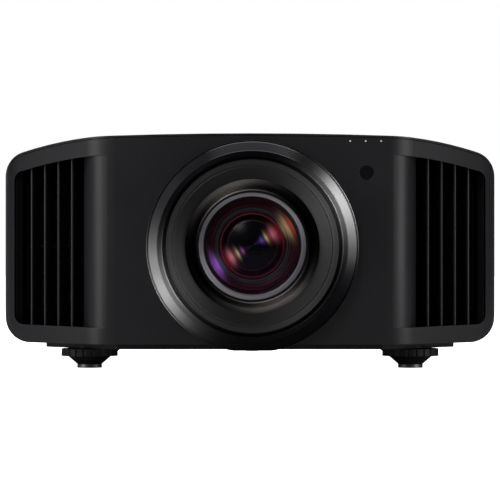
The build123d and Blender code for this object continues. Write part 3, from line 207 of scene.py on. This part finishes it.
def plain_metal(name, tint, rough, grain_mm=0.8, metallic=1.0, relief=0.08):
    """Ground, plated or powder-coated sheet: an even tone with a fine grain in its gloss."""
    material, tree, out, place = new_material(name)
    grain = add(tree, "ShaderNodeTexNoise", {"Vector": place, "Scale": 1 / (grain_mm * MM), "Detail": 3.0})
    tone = ramp(tree, grain.outputs["Fac"], [(0.3, tint[0]), (0.7, tint[1])])
    gloss = add(tree, "ShaderNodeMapRange", {"Value": grain.outputs["Fac"], "To Min": rough - 0.08,
                                             "To Max": rough + 0.08})
    metal = add(tree, "ShaderNodeBsdfPrincipled", {
        "Base Color": tone.outputs[0], "Metallic": metallic, "Roughness": gloss.outputs[0],
        "Normal": soft_normal(tree, 0.3 * MM, grain.outputs["Fac"], relief)})
    tree.links.new(metal.outputs[0], out.inputs[0])
    return material


def clear_glass(name):
    """Front element: clear glass under a thin coating, seen mostly by its violet reflections."""
    material, tree, out, place = new_material(name)
    smear = add(tree, "ShaderNodeTexNoise", {"Vector": place, "Scale": 35.0, "Detail": 3.0})
    gloss = add(tree, "ShaderNodeMapRange", {"Value": smear.outputs["Fac"], "To Min": 0.02, "To Max": 0.07})
    glass = add(tree, "ShaderNodeBsdfPrincipled", {
        "Base Color": linear("#7A5A9A"), "Metallic": 1.0, "Roughness": gloss.outputs[0], "Alpha": 0.02})
    tree.links.new(glass.outputs[0], out.inputs[0])
    return material


def coated_depths(name, rings, painted_streaks, fan_deg, power, rough=0.25):
    """Lens depths: ringed edges and coated glass, with painted coloured reflections of the lights in bands
    along one diameter.
    """
    material, tree, out, place = new_material(name)
    # painted reflection: the coloured reflections of the lights are painted into the colour, in two narrow
    # sectors
    fan, along, reach, _ = painted_highlight_fans(tree, place, fan_deg, power)
    lens_r = 48 * MM
    where = add(tree, "ShaderNodeMath", {0: reach, 1: lens_r}, operation="DIVIDE").outputs[0]
    edges = ramp(tree, where, rings)
    track = add(tree, "ShaderNodeMapRange",
                {"Value": along, "From Min": -lens_r, "From Max": lens_r}).outputs[0]
    painted_reflection = ramp(tree, track, painted_streaks)
    # the painted reflection bands break into fine arcs, one for each polished edge behind
    arcs = add(tree, "ShaderNodeTexNoise", {"W": reach, "Scale": 700.0, "Detail": 3.0}, noise_dimensions="1D")
    break_up = add(tree, "ShaderNodeMapRange",
                   {"Value": arcs.outputs["Fac"], "From Min": 0.35, "From Max": 0.6,
                                                "To Min": 0.7, "To Max": 1.0}).outputs[0]
    share = add(tree, "ShaderNodeMath", {0: fan, 1: break_up}, operation="MULTIPLY").outputs[0]
    tone = add(tree, "ShaderNodeMix", {0: share, 6: edges.outputs[0], 7: painted_reflection.outputs[0]}, data_type="RGBA",
               blend_type="ADD").outputs[2]
    glass = add(tree, "ShaderNodeBsdfPrincipled", {
        "Base Color": tone, "Roughness": rough, "Specular IOR Level": 0.12})
    tree.links.new(glass.outputs[0], out.inputs[0])
    return material


def matt_baffle(name, code, rough=0.7, coat=0.0):
    """Blackened baffle paint: threads and flats that swallow stray light, with a faint warm sheen."""
    material, tree, out, place = new_material(name)
    fleck = add(tree, "ShaderNodeTexNoise", {"Vector": place, "Scale": 900.0, "Detail": 2.0})
    paint = add(tree, "ShaderNodeBsdfPrincipled", {
        "Base Color": linear(code), "Roughness": rough, "Coat Weight": coat, "Coat Roughness": 0.15,
        "Normal": soft_normal(tree, 0.2 * MM, fleck.outputs["Fac"], 0.1)})
    tree.links.new(paint.outputs[0], out.inputs[0])
    return material


def open_foam(name):
    """Reticulated polyurethane filter foam: dark cells about a millimetre across."""
    material, tree, out, place = new_material(name)
    cells = add(tree, "ShaderNodeTexVoronoi", {"Vector": place, "Scale": 650.0})
    tone = ramp(tree, cells.outputs["Distance"], [(0.1, "#08080A"), (0.7, "#2A2A2D")])
    foam = add(tree, "ShaderNodeBsdfPrincipled", {
        "Base Color": tone.outputs[0], "Roughness": 0.95,
        "Normal": add(tree, "ShaderNodeBump", {"Height": cells.outputs["Distance"], "Strength": 0.8,
                                               "Distance": 0.0006}).outputs[0]})
    tree.links.new(foam.outputs[0], out.inputs[0])
    return material


def lit_lens(name, code, strength):
    """Frosted acrylic light pipe with a weak lamp behind it."""
    material, tree, out, place = new_material(name)
    frost = add(tree, "ShaderNodeTexNoise", {"Vector": place, "Scale": 2500.0})
    lamp = add(tree, "ShaderNodeBsdfPrincipled", {
        "Base Color": linear(code), "Roughness": 0.35, "Emission Color": linear(code),
        "Emission Strength": strength,
        "Normal": add(tree, "ShaderNodeBump", {"Height": frost.outputs["Fac"], "Strength": 0.1,
                                               "Distance": 0.0001}).outputs[0]})
    tree.links.new(lamp.outputs[0], out.inputs[0])
    return material


def circuit_board(name):
    """Green solder mask over copper tracks that show as faint lines."""
    material, tree, out, place = new_material(name)
    tracks = add(tree, "ShaderNodeTexBrick", {"Vector": place, "Color1": linear("#0C3A20"),
                                              "Color2": linear("#0F4526"), "Mortar": linear("#1C6A3C"),
                                              "Scale": 60.0, "Mortar Size": 0.02})
    board = add(tree, "ShaderNodeBsdfPrincipled", {"Base Color": tracks.outputs[0], "Roughness": 0.35})
    tree.links.new(board.outputs[0], out.inputs[0])
    return material


# tones of the rings seen through the front glass, by radius over the glass radius
DEPTH_RINGS = [
    (0.0, "#020203"), (0.21, "#040407"), (0.22, "#120F16"), (0.23, "#040407"), (0.40, "#050507"),
    (0.50, "#0A0708"), (0.512, "#3A2C2E"), (0.525, "#120A0C"), (0.60, "#1E080D"), (0.645, "#2A0C12"),
    (0.655, "#8A3840"), (0.67, "#2A0C12"), (0.70, "#0E0A0C"), (0.72, "#3C3A3E"), (0.77, "#343236"),
    (0.79, "#120A0D"), (0.83, "#3A1018"), (0.86, "#141014"), (0.90, "#3A0E16"), (1.0, "#1E0A10")]
# painted reflections of the lights in the coated glass: colours along the bright diameter, from its lower
# left end to its upper right end
PAINTED_REFLECTION_STREAKS = [
    (0.0, "#301040"), (0.05, "#A060E0"), (0.09, "#C080F0"), (0.12, "#6A5080"), (0.16, "#303034"),
    (0.19, "#701820"), (0.22, "#FF5A70"), (0.255, "#FFC0D0"), (0.285, "#C03040"), (0.31, "#807050"),
    (0.33, "#FFF4D0"), (0.345, "#807050"), (0.36, "#20101A"), (0.385, "#C060C0"), (0.41, "#181020"),
    (0.50, "#203038"), (0.57, "#3A2070"), (0.61, "#7858C8"), (0.64, "#504050"), (0.662, "#FFEFC0"),
    (0.68, "#A07848"), (0.70, "#C04050"), (0.74, "#FFA0A8"), (0.79, "#C83848"), (0.82, "#401018"),
    (0.87, "#C8A878"), (0.90, "#E8C090"), (0.93, "#B06040"), (0.96, "#E05040"), (1.0, "#701818")]


def build_materials(settings):
    """Every finish by a short key."""
    shell = settings.shell_tone
    return {
        "shell": moulded_plastic("moulded_abs_black", shell_tones(shell), settings.shell_rough, 0.45, 0.10),
        "inlay": moulded_plastic("moulded_abs_fine", ("#232327", "#28282C"), 0.30, 0.3, 0.05),
        "louvre": moulded_plastic("moulded_abs_louvre", ("#141417", "#19191C"), 0.40, 0.5, 0.10),
        "dark": moulded_plastic("glass_filled_nylon", ("#101012", "#161618"), 0.5, 0.6, 0.2),
        "rubber": moulded_plastic("moulded_rubber", ("#0D0D0E", "#121213"), 0.75, 0.7, 0.3),
        # for each turned ring, the tone after the sector angle and its power is the painted highlight of its
        # two bright sectors
        "bezel": turned_metal("turned_anodised_aluminium", ("#1E1D1F", "#262528"), 0.34, 0.5, 26.5, 9.0,
                              "#929292"),
        "funnel": turned_metal("turned_anodised_funnel", ("#161516", "#1B1A1B"), 0.55, 0.4, 26.5, 6.0,
                               "#2A2A2C",
                               0.2),
        "cell": turned_metal("turned_anodised_cell", ("#56545A", "#605E64"), 0.42, 0.3, 70.0, 3.0,
                             "#807C80", 0.6,
                             [(0.0, "#3A1820"), (0.482, "#FFFFFF")]),
        "dish": turned_metal("gloss_turned_dish", ("#0B0A0A", "#100E0E"), 0.30, 0.6, 112.0, 4.0, "#C0B8B4",
                             0.8),
        "alloy": plain_metal("black_anodised_casting", ("#2B2B2E", "#343438"), 0.45),
        "steel": plain_metal("ground_steel", ("#8D8F93", "#A4A6AA"), 0.28, 0.5),
        "dull_steel": plain_metal("zinc_plated_steel", ("#7A7B7E", "#8C8D90"), 0.38, 0.7),
        "black_screw": plain_metal("blackened_steel", ("#1C1C1E", "#26262A"), 0.35, 0.5),
        "powder": plain_metal("powder_coated_steel", ("#121214", "#18181B"), 0.5, 0.9, 0.0, 0.35),
        "glass": clear_glass("coated_crown_glass"),
        # the lens depths carry painted reflections of the lights along one diameter
        "depths": coated_depths("coated_lens_depths", DEPTH_RINGS, PAINTED_REFLECTION_STREAKS, 29.0, 26.0),
        "foam": open_foam("filter_foam"),
        "window": matt_baffle("infrared_acrylic", "#0C0A0D", 0.08, 1.0),
        "lamp": lit_lens("frosted_light_pipe", "#C9CBD0", 0.15),
        "board": circuit_board("circuit_board"),
    }


def shell_tones(level):
    """Two near-black tones about the shell's level, from 0 to 255."""
    low, high = int(level), int(level) + 4
    return f"#{low:02X}{low:02X}{low + 3:02X}", f"#{high:02X}{high:02X}{high + 3:02X}"


# ---------------------------------------------------------------- mesh helpers

def object_from(name, mesh, material, body):
    """A finished piece at the origin, riding on its body."""
    made = bpy.data.objects.new(name, mesh)
    bpy.context.scene.collection.objects.link(made)
    mesh.materials.clear()
    mesh.materials.append(material)
    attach(made, body)
    return made


def lathe(name, profile, material, body, steps=160, smooth=True, x=None, z=None):
    """Spin (radius, y) points round a fore-and-aft axis into a closed solid; a zero radius makes a pole."""
    x = LENS_X if x is None else x
    z = LENS_Z if z is None else z
    work = bmesh.new()
    rings = []
    for r, y in profile:
        if r < 1e-7:
            rings.append([work.verts.new((x, y, z))])
            continue
        rings.append([work.verts.new((x + r * math.sin(2 * math.pi * i / steps), y,
                                      z + r * math.cos(2 * math.pi * i / steps))) for i in range(steps)])
    pairs = list(zip(rings, rings[1:] + rings[:1]))
    for a, b in pairs:
        if len(a) == 1 and len(b) == 1:
            continue
        for i in range(steps):
            j = (i + 1) % steps
            corners = [a[0]] if len(a) == 1 else [a[i], a[j]]
            corners += [b[0]] if len(b) == 1 else [b[j], b[i]]
            work.faces.new(corners)
    bmesh.ops.recalc_face_normals(work, faces=work.faces)
    mesh = bpy.data.meshes.new(name)
    work.to_mesh(mesh)
    work.free()
    if smooth:
        mesh.shade_smooth()
        mesh.set_sharp_from_angle(angle=math.radians(35))
    return object_from(name, mesh, material, body)


def dome(r, edge_y, sag, count=14):
    """(radius, y) points of a spherical cap from its pole out to its rim; sag is how far the pole leads."""
    ball = (r * r + sag * sag) / (2 * abs(sag))
    sign = 1 if sag > 0 else -1
    points = []
    for i in range(count + 1):
        reach = r * i / count
        rise = math.sqrt(ball * ball - reach * reach) - (ball - abs(sag))
        points.append((reach, edge_y - sign * rise))
    return points


# ---------------------------------------------------------------- geometry nodes

def group(name, inputs):
    """An empty geometry tree with named inputs: (name, socket kind, default)."""
    tree = bpy.data.node_groups.new(name, "GeometryNodeTree")
    tree.interface.new_socket("Geometry", in_out="OUTPUT", socket_type="NodeSocketGeometry")
    for label, kind, default in inputs:
        socket = tree.interface.new_socket(label, in_out="INPUT", socket_type=kind)
        if default is not None:
            socket.default_value = default
    return tree, tree.nodes.new("NodeGroupInput"), tree.nodes.new("NodeGroupOutput")


def bake(name, tree, values, body):
    """Run a geometry tree, keep its result as a plain mesh and let it ride on its body."""
    holder = bpy.data.objects.new(name + "_holder", bpy.data.meshes.new(name + "_holder"))
    bpy.context.scene.collection.objects.link(holder)
    run = holder.modifiers.new("make", "NODES")
    run.node_group = tree
    for item in tree.interface.items_tree:
        if item.item_type == "SOCKET" and item.in_out == "INPUT" and item.name in values:
            run[item.identifier] = values[item.name]
    scene_graph = bpy.context.evaluated_depsgraph_get()
    mesh = bpy.data.meshes.new_from_object(holder.evaluated_get(scene_graph))
    bpy.data.objects.remove(holder)
    mesh.name = name
    if not mesh.polygons:
        raise RuntimeError(f"{name} came out empty")
    made = bpy.data.objects.new(name, mesh)
    bpy.context.scene.collection.objects.link(made)
    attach(made, body)
    return made


def screw_tree():
    """Cup-head screws with a hexagon socket, stood on each point of a mesh along an axis."""
    tree, given, out = group("screw_set", [
        ("Points", "NodeSocketObject", None), ("Head Radius", "NodeSocketFloat", 0.003),
        ("Head Height", "NodeSocketFloat", 0.001), ("Turn", "NodeSocketVector", (0, 0, 0)),
        ("Material", "NodeSocketMaterial", None)])
    source = add(tree, "GeometryNodeObjectInfo", {"Object": given.outputs["Points"]})
    points = add(tree, "GeometryNodeMeshToPoints", {"Mesh": source.outputs["Geometry"]})
    head = add(tree, "GeometryNodeMeshCylinder", {"Vertices": 32, "Radius": given.outputs["Head Radius"],
                                                 "Depth": given.outputs["Head Height"]})
    bit_r = add(tree, "ShaderNodeMath", {0: given.outputs["Head Radius"], 1: 0.45}, operation="MULTIPLY")
    bit = add(tree, "GeometryNodeMeshCylinder", {"Vertices": 6, "Radius": bit_r.outputs[0],
                                                "Depth": given.outputs["Head Height"]})
    lift = add(tree, "ShaderNodeMath", {0: given.outputs["Head Height"], 1: 0.4}, operation="MULTIPLY")
    rise = add(tree, "ShaderNodeCombineXYZ", {"Z": lift.outputs[0]})
    raised = add(tree, "GeometryNodeTransform", {"Geometry": bit.outputs["Mesh"],
                                                "Translation": rise.outputs[0]})
    cut = add(tree, "GeometryNodeMeshBoolean", {0: head.outputs["Mesh"], 1: raised.outputs[0]},
              operation="DIFFERENCE")
    set_on = add(tree, "GeometryNodeInstanceOnPoints", {
        "Points": points.outputs[0], "Instance": cut.outputs["Mesh"], "Rotation": given.outputs["Turn"]})
    real = add(tree, "GeometryNodeRealizeInstances", {0: set_on.outputs[0]})
    painted = add(tree, "GeometryNodeSetMaterial", {"Geometry": real.outputs[0],
                                                   "Material": given.outputs["Material"]})
    tree.links.new(painted.outputs[0], out.inputs[0])
    return tree


def point_cloud(name, places):
    """A hidden mesh of loose points that a tree stands things on."""
    mesh = bpy.data.meshes.new(name)
    mesh.from_pydata([tuple(p) for p in places], [], [])
    made = bpy.data.objects.new(name, mesh)
    bpy.context.scene.collection.objects.link(made)
    made.hide_render = True
    return made


def screws(name, places, turn, radius, height, material, body):
    """One baked set of screws."""
    cloud = point_cloud(name + "_points", places)
    made = bake(name, screw_tree(), {"Points": cloud, "Head Radius": radius, "Head Height": height,
                                     "Turn": turn, "Material": material}, body)
    bpy.data.objects.remove(cloud)
    return made


def wire_screen_tree():
    """A woven wire screen: round wires both ways, laid over a flat rectangle in X and Z."""
    tree, given, out = group("wire_screen", [
        ("Width", "NodeSocketFloat", 0.1), ("Height", "NodeSocketFloat", 0.1),
        ("Pitch", "NodeSocketFloat", 0.003),
        ("Wire Radius", "NodeSocketFloat", 0.0004), ("Place", "NodeSocketVector", (0, 0, 0)),
        ("Turn", "NodeSocketVector", (0, 0, 0)), ("Material", "NodeSocketMaterial", None)])

    def wires(span, reach, along_x):
        """Parallel wires that cross the span, each as long as the reach."""
        count = add(tree, "ShaderNodeMath", {0: given.outputs[span], 1: given.outputs["Pitch"]},
                    operation="DIVIDE")
        whole = add(tree, "FunctionNodeFloatToInt", {0: count.outputs[0]}, rounding_mode="FLOOR")
        step = add(tree, "ShaderNodeCombineXYZ", {"X" if along_x else "Z": given.outputs["Pitch"]})
        half = add(tree, "ShaderNodeMath", {0: given.outputs[span], 1: -0.5}, operation="MULTIPLY")
        start = add(tree, "ShaderNodeCombineXYZ", {"X" if along_x else "Z": half.outputs[0]})
        line = add(tree, "GeometryNodeMeshLine",
                   {"Count": whole.outputs[0], "Start Location": start.outputs[0],
                                                 "Offset": step.outputs[0]}, mode="OFFSET")
        wire = add(tree, "GeometryNodeMeshCylinder", {
            "Vertices": 6, "Radius": given.outputs["Wire Radius"], "Depth": given.outputs[reach]})
        turn = (0, 0, 0) if along_x else (0, math.pi / 2, 0)
        laid = add(tree, "GeometryNodeInstanceOnPoints", {"Points": line.outputs[0],
                                                         "Instance": wire.outputs["Mesh"], "Rotation": turn})
        return laid.outputs[0]

    both = tree.nodes.new("GeometryNodeJoinGeometry")
    tree.links.new(wires("Width", "Height", True), both.inputs[0])
    tree.links.new(wires("Height", "Width", False), both.inputs[0])
    real = add(tree, "GeometryNodeRealizeInstances", {0: both.outputs[0]})
    placed = add(tree, "GeometryNodeTransform", {"Geometry": real.outputs[0],
                                                "Translation": given.outputs["Place"],
                                                "Rotation": given.outputs["Turn"]})
    painted = add(tree, "GeometryNodeSetMaterial", {"Geometry": placed.outputs[0],
                                                   "Material": given.outputs["Material"]})
    tree.links.new(painted.outputs[0], out.inputs[0])
    return tree


# ---------------------------------------------------------------- settings

class ProjectorLooks(bpy.types.PropertyGroup):
    """Tones and sizes that a user may change."""
    shell_tone: bpy.props.IntProperty(name="Shell Tone", description="Level of the black shell, 0 to 255",
                                      default=24, min=0, max=255)
    shell_rough: bpy.props.FloatProperty(name="Shell Roughness", description="Gloss of the moulded shell",
                                         default=0.42, min=0, max=1, subtype="FACTOR")
    screen_pitch: bpy.props.FloatProperty(name="Screen Pitch", description="Wire spacing of the dust screens",
                                          default=3.2 * MM, unit="LENGTH", precision=4)
    screw_radius: bpy.props.FloatProperty(name="Screw Head", description="Radius of a case screw's head",
                                          default=3.2 * MM, unit="LENGTH", precision=4)


class ProjectorStudio(bpy.types.PropertyGroup):
    """The studio round the projector."""
    distance: bpy.props.FloatProperty(name="Camera Distance",
                                      description="From the front panel to the camera",
                                      default=3.0, unit="LENGTH")
    focal: bpy.props.FloatProperty(name="Focal Length", description="Of the camera, in millimetres",
                                   default=219.6)
    floor_tone: bpy.props.FloatVectorProperty(name="Floor", description="Colour of the paper floor",
                                              default=(0.9, 0.9, 0.9), subtype="COLOR")
    floor_glow: bpy.props.FloatProperty(name="Floor Lift", description="Light added to the paper floor",
                                        default=1.3)
    fill: bpy.props.FloatProperty(name="Fill", description="Even light from all round", default=0.035)
    strips: bpy.props.FloatProperty(name="Side Strips", description="Strip light at each side", default=2.1,
                                    unit="POWER")
    key: bpy.props.FloatProperty(name="Key", description="Box at the upper right", default=7.5, unit="POWER")
    rear: bpy.props.FloatProperty(name="Rear", description="Box behind", default=16.0, unit="POWER")
    top: bpy.props.FloatProperty(name="Top", description="Box overhead", default=30.0, unit="POWER")


# ---------------------------------------------------------------- operators

FINISHES = {
    "shell": ("front_panel", "top_cover", "lower_sides", "rear_panel", "filter_cover"),
    "inlay": ("top_inlay",),
    "louvre": ("louvre_left", "louvre_right"),
    "bezel": ("lens_bezel",),
    "funnel": ("lens_funnel",),
    "dish": ("lens_dish",),
    "cell": ("front_cell",),
    "alloy": ("lens_barrel", "zoom_cell", "lens_frame", "shift_plate_horizontal", "shift_plate_vertical",
              "optical_chassis", "heat_sink"),
    "steel": ("rods_horizontal", "rods_vertical", "lead_screw_horizontal", "lead_screw_vertical",
              "iris_blade_left", "iris_blade_right"),
    "dull_steel": ("terminal_sockets", "lens_motors", "shift_motor_horizontal", "shift_motor_vertical",
                   "foot_leg_front_left", "foot_leg_front_right"),
    "black_screw": ("case_screws",),
    "powder": ("base_tray", "terminal_plate", "power_supply", "light_engine"),
    "dark": ("power_inlet", "exhaust_ducts", "fan_frames", "fan_rotor_left", "fan_rotor_right", "focus_ring",
             "zoom_ring", "focus_pinion", "zoom_pinion", "key_cursor", "key_enter", "key_menu", "key_power",
             "foot_wheel_front_left", "foot_wheel_front_right"),
    "rubber": ("rear_feet",),
    "window": ("sensor_windows", "imaging_panels"),
    "lamp": ("indicator_lights",),
    "glass": ("zoom_glass", "prism_cube"),
    "foam": ("air_filter",),
    "board": ("main_board",),
}


class PROJECTOR_OT_finishes(bpy.types.Operator):
    """Give every carried-over part the finish of its real material"""
    bl_idname = "projector.finishes"
    bl_label = "Part Finishes"

    def execute(self, context):
        MADE.update(build_materials(context.scene.projector_looks))
        for key, names in FINISHES.items():
            for name in names:
                mesh = NODES[name].data
                mesh.materials.clear()
                mesh.materials.append(MADE[key])
        return {"FINISHED"}


class PROJECTOR_OT_lens(bpy.types.Operator):
    """Front glass, the coated elements behind it and the rings between them"""
    bl_idname = "projector.lens"
    bl_label = "Lens Elements"

    def execute(self, context):
        low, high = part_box("front_glass")
        edge_y = low.y + 5.0 * MM
        rim = (high.x - low.x) / 2
        outer = dome(rim, edge_y, 5.0 * MM)
        inner = dome(rim - 3.0 * MM, edge_y + 6.0 * MM, 2.0 * MM)
        profile = outer + [(rim, edge_y + 5.9 * MM)] + inner[::-1]
        glass = lathe("front_element", profile, MADE["glass"], "front_group")
        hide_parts("front_glass")
        # stepped edges behind the glass down to the second element, all inside the front cell's bore
        back = edge_y + 6.4 * MM
        step = [(44.8, 0.0), (41.6, 0.0), (41.2, 1.4), (36.0, 3.0), (35.2, 1.8), (34.4, 3.6), (32.0, 4.2),
                (31.4, 3.2),
                (30.4, 3.4), (30.0, 5.0)]
        profile = [(r * MM, back + y * MM) for r, y in step]
        crown = dome(29.0 * MM, back + 9.0 * MM, 7.0 * MM, 24)
        profile += crown[::-1] + [(0.0, back + 14 * MM), (44.8 * MM, back + 14 * MM)]
        lathe("lens_depths", profile, MADE["depths"], "front_group", 192)
        return {"FINISHED"}


class PROJECTOR_OT_screens(bpy.types.Operator):
    """Woven wire screens that keep dust out behind the side louvres"""
    bl_idname = "projector.screens"
    bl_label = "Dust Screens"

    def execute(self, context):
        tree = wire_screen_tree()
        for side, name in ((1, "right"), (-1, "left")):
            low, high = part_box(f"louvre_{name}")
            middle = Vector(((low.x + high.x) / 2 - side * 9 * MM, high.y - 34 * MM,
                             (low.z + high.z) / 2 - 4 * MM))
            bake(f"dust_screen_{name}", tree, {
                "Width": 0.088, "Height": 0.145, "Pitch": context.scene.projector_looks.screen_pitch,
                "Wire Radius": 0.55 * MM, "Place": middle, "Turn": (0, 0, side * math.radians(45)),
                "Material": MADE["dark"]}, "cabinet")
        return {"FINISHED"}


class PROJECTOR_OT_fasteners(bpy.types.Operator):
    """Screws of the rear panel, the terminal plate and the base tray"""
    bl_idname = "projector.fasteners"
    bl_label = "Case Fasteners"

    def execute(self, context):
        r = context.scene.projector_looks.screw_radius
        sunk = 0.35 * MM
        rear = [(x * MM, BACK_Y + sunk * 0.5, z * MM) for x in (-222, 222) for z in (60, 182)]
        rear += [(x * MM, BACK_Y + sunk * 0.5, 104 * MM) for x in (-140, 0, 140)]
        rear_turn = (-math.pi / 2, 0, 0)
        screws("rear_screws", rear, rear_turn, r, 0.9 * MM, MADE["black_screw"], "cabinet")
        plate_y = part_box("terminal_plate")[1].y
        plate = [(x * MM, plate_y + 0.4 * MM, z * MM) for x in (-112, 100) for z in (54, 92)]
        screws("terminal_screws", plate, rear_turn, 2.6 * MM, 0.9 * MM, MADE["dull_steel"], "cabinet")
        tray_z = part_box("base_tray")[0].z
        base = [(x * MM, y * MM, tray_z - 0.3 * MM) for x in (-192, -64, 64, 192) for y in (-88, 70, 196)]
        screws("base_screws", base, (math.pi, 0, 0), r, 0.9 * MM, MADE["dull_steel"], "cabinet")
        return {"FINISHED"}


class PROJECTOR_OT_stage(bpy.types.Operator):
    """Pale paper floor, soft lights and the camera square to the front"""
    bl_idname = "projector.stage"
    bl_label = "Studio"

    def execute(self, context):
        studio = context.scene.projector_studio
        mesh = bpy.data.meshes.new("studio_floor")
        reach = 9.0
        mesh.from_pydata([(-reach, -reach, 0), (reach, -reach, 0), (reach, reach, 0), (-reach, reach, 0)], [],
                         [(0, 1, 2, 3)])
        floor = bpy.data.objects.new("studio_floor", mesh)
        context.scene.collection.objects.link(floor)
        paper, tree, out, place = new_material("studio_paper")
        pulp = add(tree, "ShaderNodeTexNoise", {"Vector": place, "Scale": 40.0})
        grain = add(tree, "ShaderNodeBump", {"Height": pulp.outputs["Fac"], "Strength": 0.02}).outputs[0]
        sheet = add(tree, "ShaderNodeBsdfPrincipled", {
            "Base Color": (*studio.floor_tone, 1), "Roughness": 0.9, "Emission Color": linear("#FFFFFF"),
            "Emission Strength": studio.floor_glow, "Normal": grain})
        dull = add(tree, "ShaderNodeBsdfPrincipled", {"Base Color": linear("#8A8A8C"), "Roughness": 0.9})
        # the object sees a greyer floor than the camera does, as if flags stood just outside the frame
        path = add(tree, "ShaderNodeLightPath")
        both = add(tree, "ShaderNodeMixShader", {0: path.outputs["Is Camera Ray"], 1: dull.outputs[0],
                                                 2: sheet.outputs[0]})
        tree.links.new(both.outputs[0], out.inputs[0])
        mesh.materials.append(paper)
        floor.visible_shadow = False

        world = bpy.data.worlds.new("studio_sky")
        context.scene.world = world
        world.use_nodes = True
        sky = world.node_tree
        seen = add(sky, "ShaderNodeLightPath").outputs["Is Camera Ray"]
        shade = add(sky, "ShaderNodeMix", {0: seen, 6: linear("#FFFFFF", 1.0), 7: linear("#FFFFFF")},
                    data_type="RGBA")
        shade.inputs[6].default_value = (studio.fill, studio.fill, studio.fill * 1.08, 1)
        back = sky.nodes["Background"]
        sky.links.new(shade.outputs[2], back.inputs[0])
        back.inputs[1].default_value = 1.0

        # near strips at both sides draw the long highlights down the vents and the swept corners
        self.soft_box(context, "left_strip", (-0.64, -0.46, 0.22), (0.34, 0.9), studio.strips,
                      (-0.16, -0.2, 0.13))
        self.soft_box(context, "right_strip", (0.64, -0.46, 0.22), (0.34, 0.9), studio.strips,
                      (0.16, -0.2, 0.13))
        # key above and to the right lights the turned rings, whose bright sectors are also painted into their
        # colour
        rings = self.lens_pieces()
        self.soft_box(context, "key_box", (1.10, -1.10, 0.66), (0.45, 0.6), studio.key, lights=rings)
        self.soft_box(context, "fill_box", (-0.9, -1.5, 1.35), (0.8, 0.6), studio.key * 1.6)
        # a low box shines up through the paper, which casts no shadow, and answers the key across the rings
        self.soft_box(context, "low_box", (-1.1, -1.1, -0.45), (0.45, 0.5), studio.key * 2.2, lights=rings)
        self.soft_box(context, "top_box", (0.0, 0.3, 1.9), (1.6, 1.2), studio.top)
        # wide box behind for the terminals and the louvres of the rear
        self.soft_box(context, "rear_box", (-0.7, 2.1, 0.8), (1.6, 0.9), studio.rear, (0.0, 0.3, 0.1))

        lens = bpy.data.cameras.new("studio_camera")
        lens.sensor_width = 36.0
        lens.lens = studio.focal
        lens.shift_y = -0.0092
        lens.clip_end = 50.0
        camera = bpy.data.objects.new("studio_camera", lens)
        camera.location = (0.0, FACE_Y - studio.distance, LENS_Z)
        camera.rotation_euler = (math.pi / 2, 0, 0)
        context.scene.collection.objects.link(camera)
        context.scene.camera = camera
        context.scene.view_settings.view_transform = "Standard"
        return {"FINISHED"}

    @staticmethod
    def lens_pieces():
        """The four turned rings that the two ring lights are kept to; the glass is not among them."""
        group = bpy.data.collections.new("turned_rings")
        for name in ("lens_bezel", "lens_funnel", "lens_dish", "front_cell"):
            group.objects.link(bpy.data.objects[name])
        return group

    def soft_box(self, context, name, place, size, power, aim=None, lights=None):
        """One rectangular area light aimed at the lens or at another point."""
        lamp = bpy.data.lights.new(name, "AREA")
        lamp.shape = "RECTANGLE"
        lamp.size, lamp.size_y = size
        lamp.energy = power
        box = bpy.data.objects.new(name, lamp)
        box.location = place
        way = Vector(aim or (LENS_X, FACE_Y, LENS_Z)) - box.location
        box.rotation_euler = way.to_track_quat("-Z", "Y").to_euler()
        box.visible_camera = False
        if lights:
            box.light_linking.receiver_collection = lights
        context.scene.collection.objects.link(box)


class PROJECTOR_PT_panel(bpy.types.Panel):
    """Lists the steps in the sidebar"""
    bl_idname = "PROJECTOR_PT_panel"
    bl_label = "Projector"
    bl_space_type = "VIEW_3D"
    bl_region_type = "UI"
    bl_category = "Projector"

    def draw(self, context):
        for settings in (context.scene.projector_looks, context.scene.projector_studio):
            for key in settings.__annotations__:
                self.layout.prop(settings, key)
        for step in STEPS:
            self.layout.operator(step.bl_idname)


STEPS = (PROJECTOR_OT_stage, PROJECTOR_OT_finishes, PROJECTOR_OT_lens, PROJECTOR_OT_screens,
         PROJECTOR_OT_fasteners)
CLASSES = (ProjectorLooks, ProjectorStudio) + STEPS + (PROJECTOR_PT_panel,)


def register():
    for item in CLASSES:
        bpy.utils.register_class(item)
    bpy.types.Scene.projector_looks = bpy.props.PointerProperty(type=ProjectorLooks)
    bpy.types.Scene.projector_studio = bpy.props.PointerProperty(type=ProjectorStudio)


def unregister():
    del bpy.types.Scene.projector_studio
    del bpy.types.Scene.projector_looks
    for item in reversed(CLASSES):
        bpy.utils.unregister_class(item)


def main():
    """Make everything in order."""
    register()
    for step in STEPS:
        family, action = step.bl_idname.split(".")
        getattr(getattr(bpy.ops, family), action)()


if __name__ == "__main__":
    main()
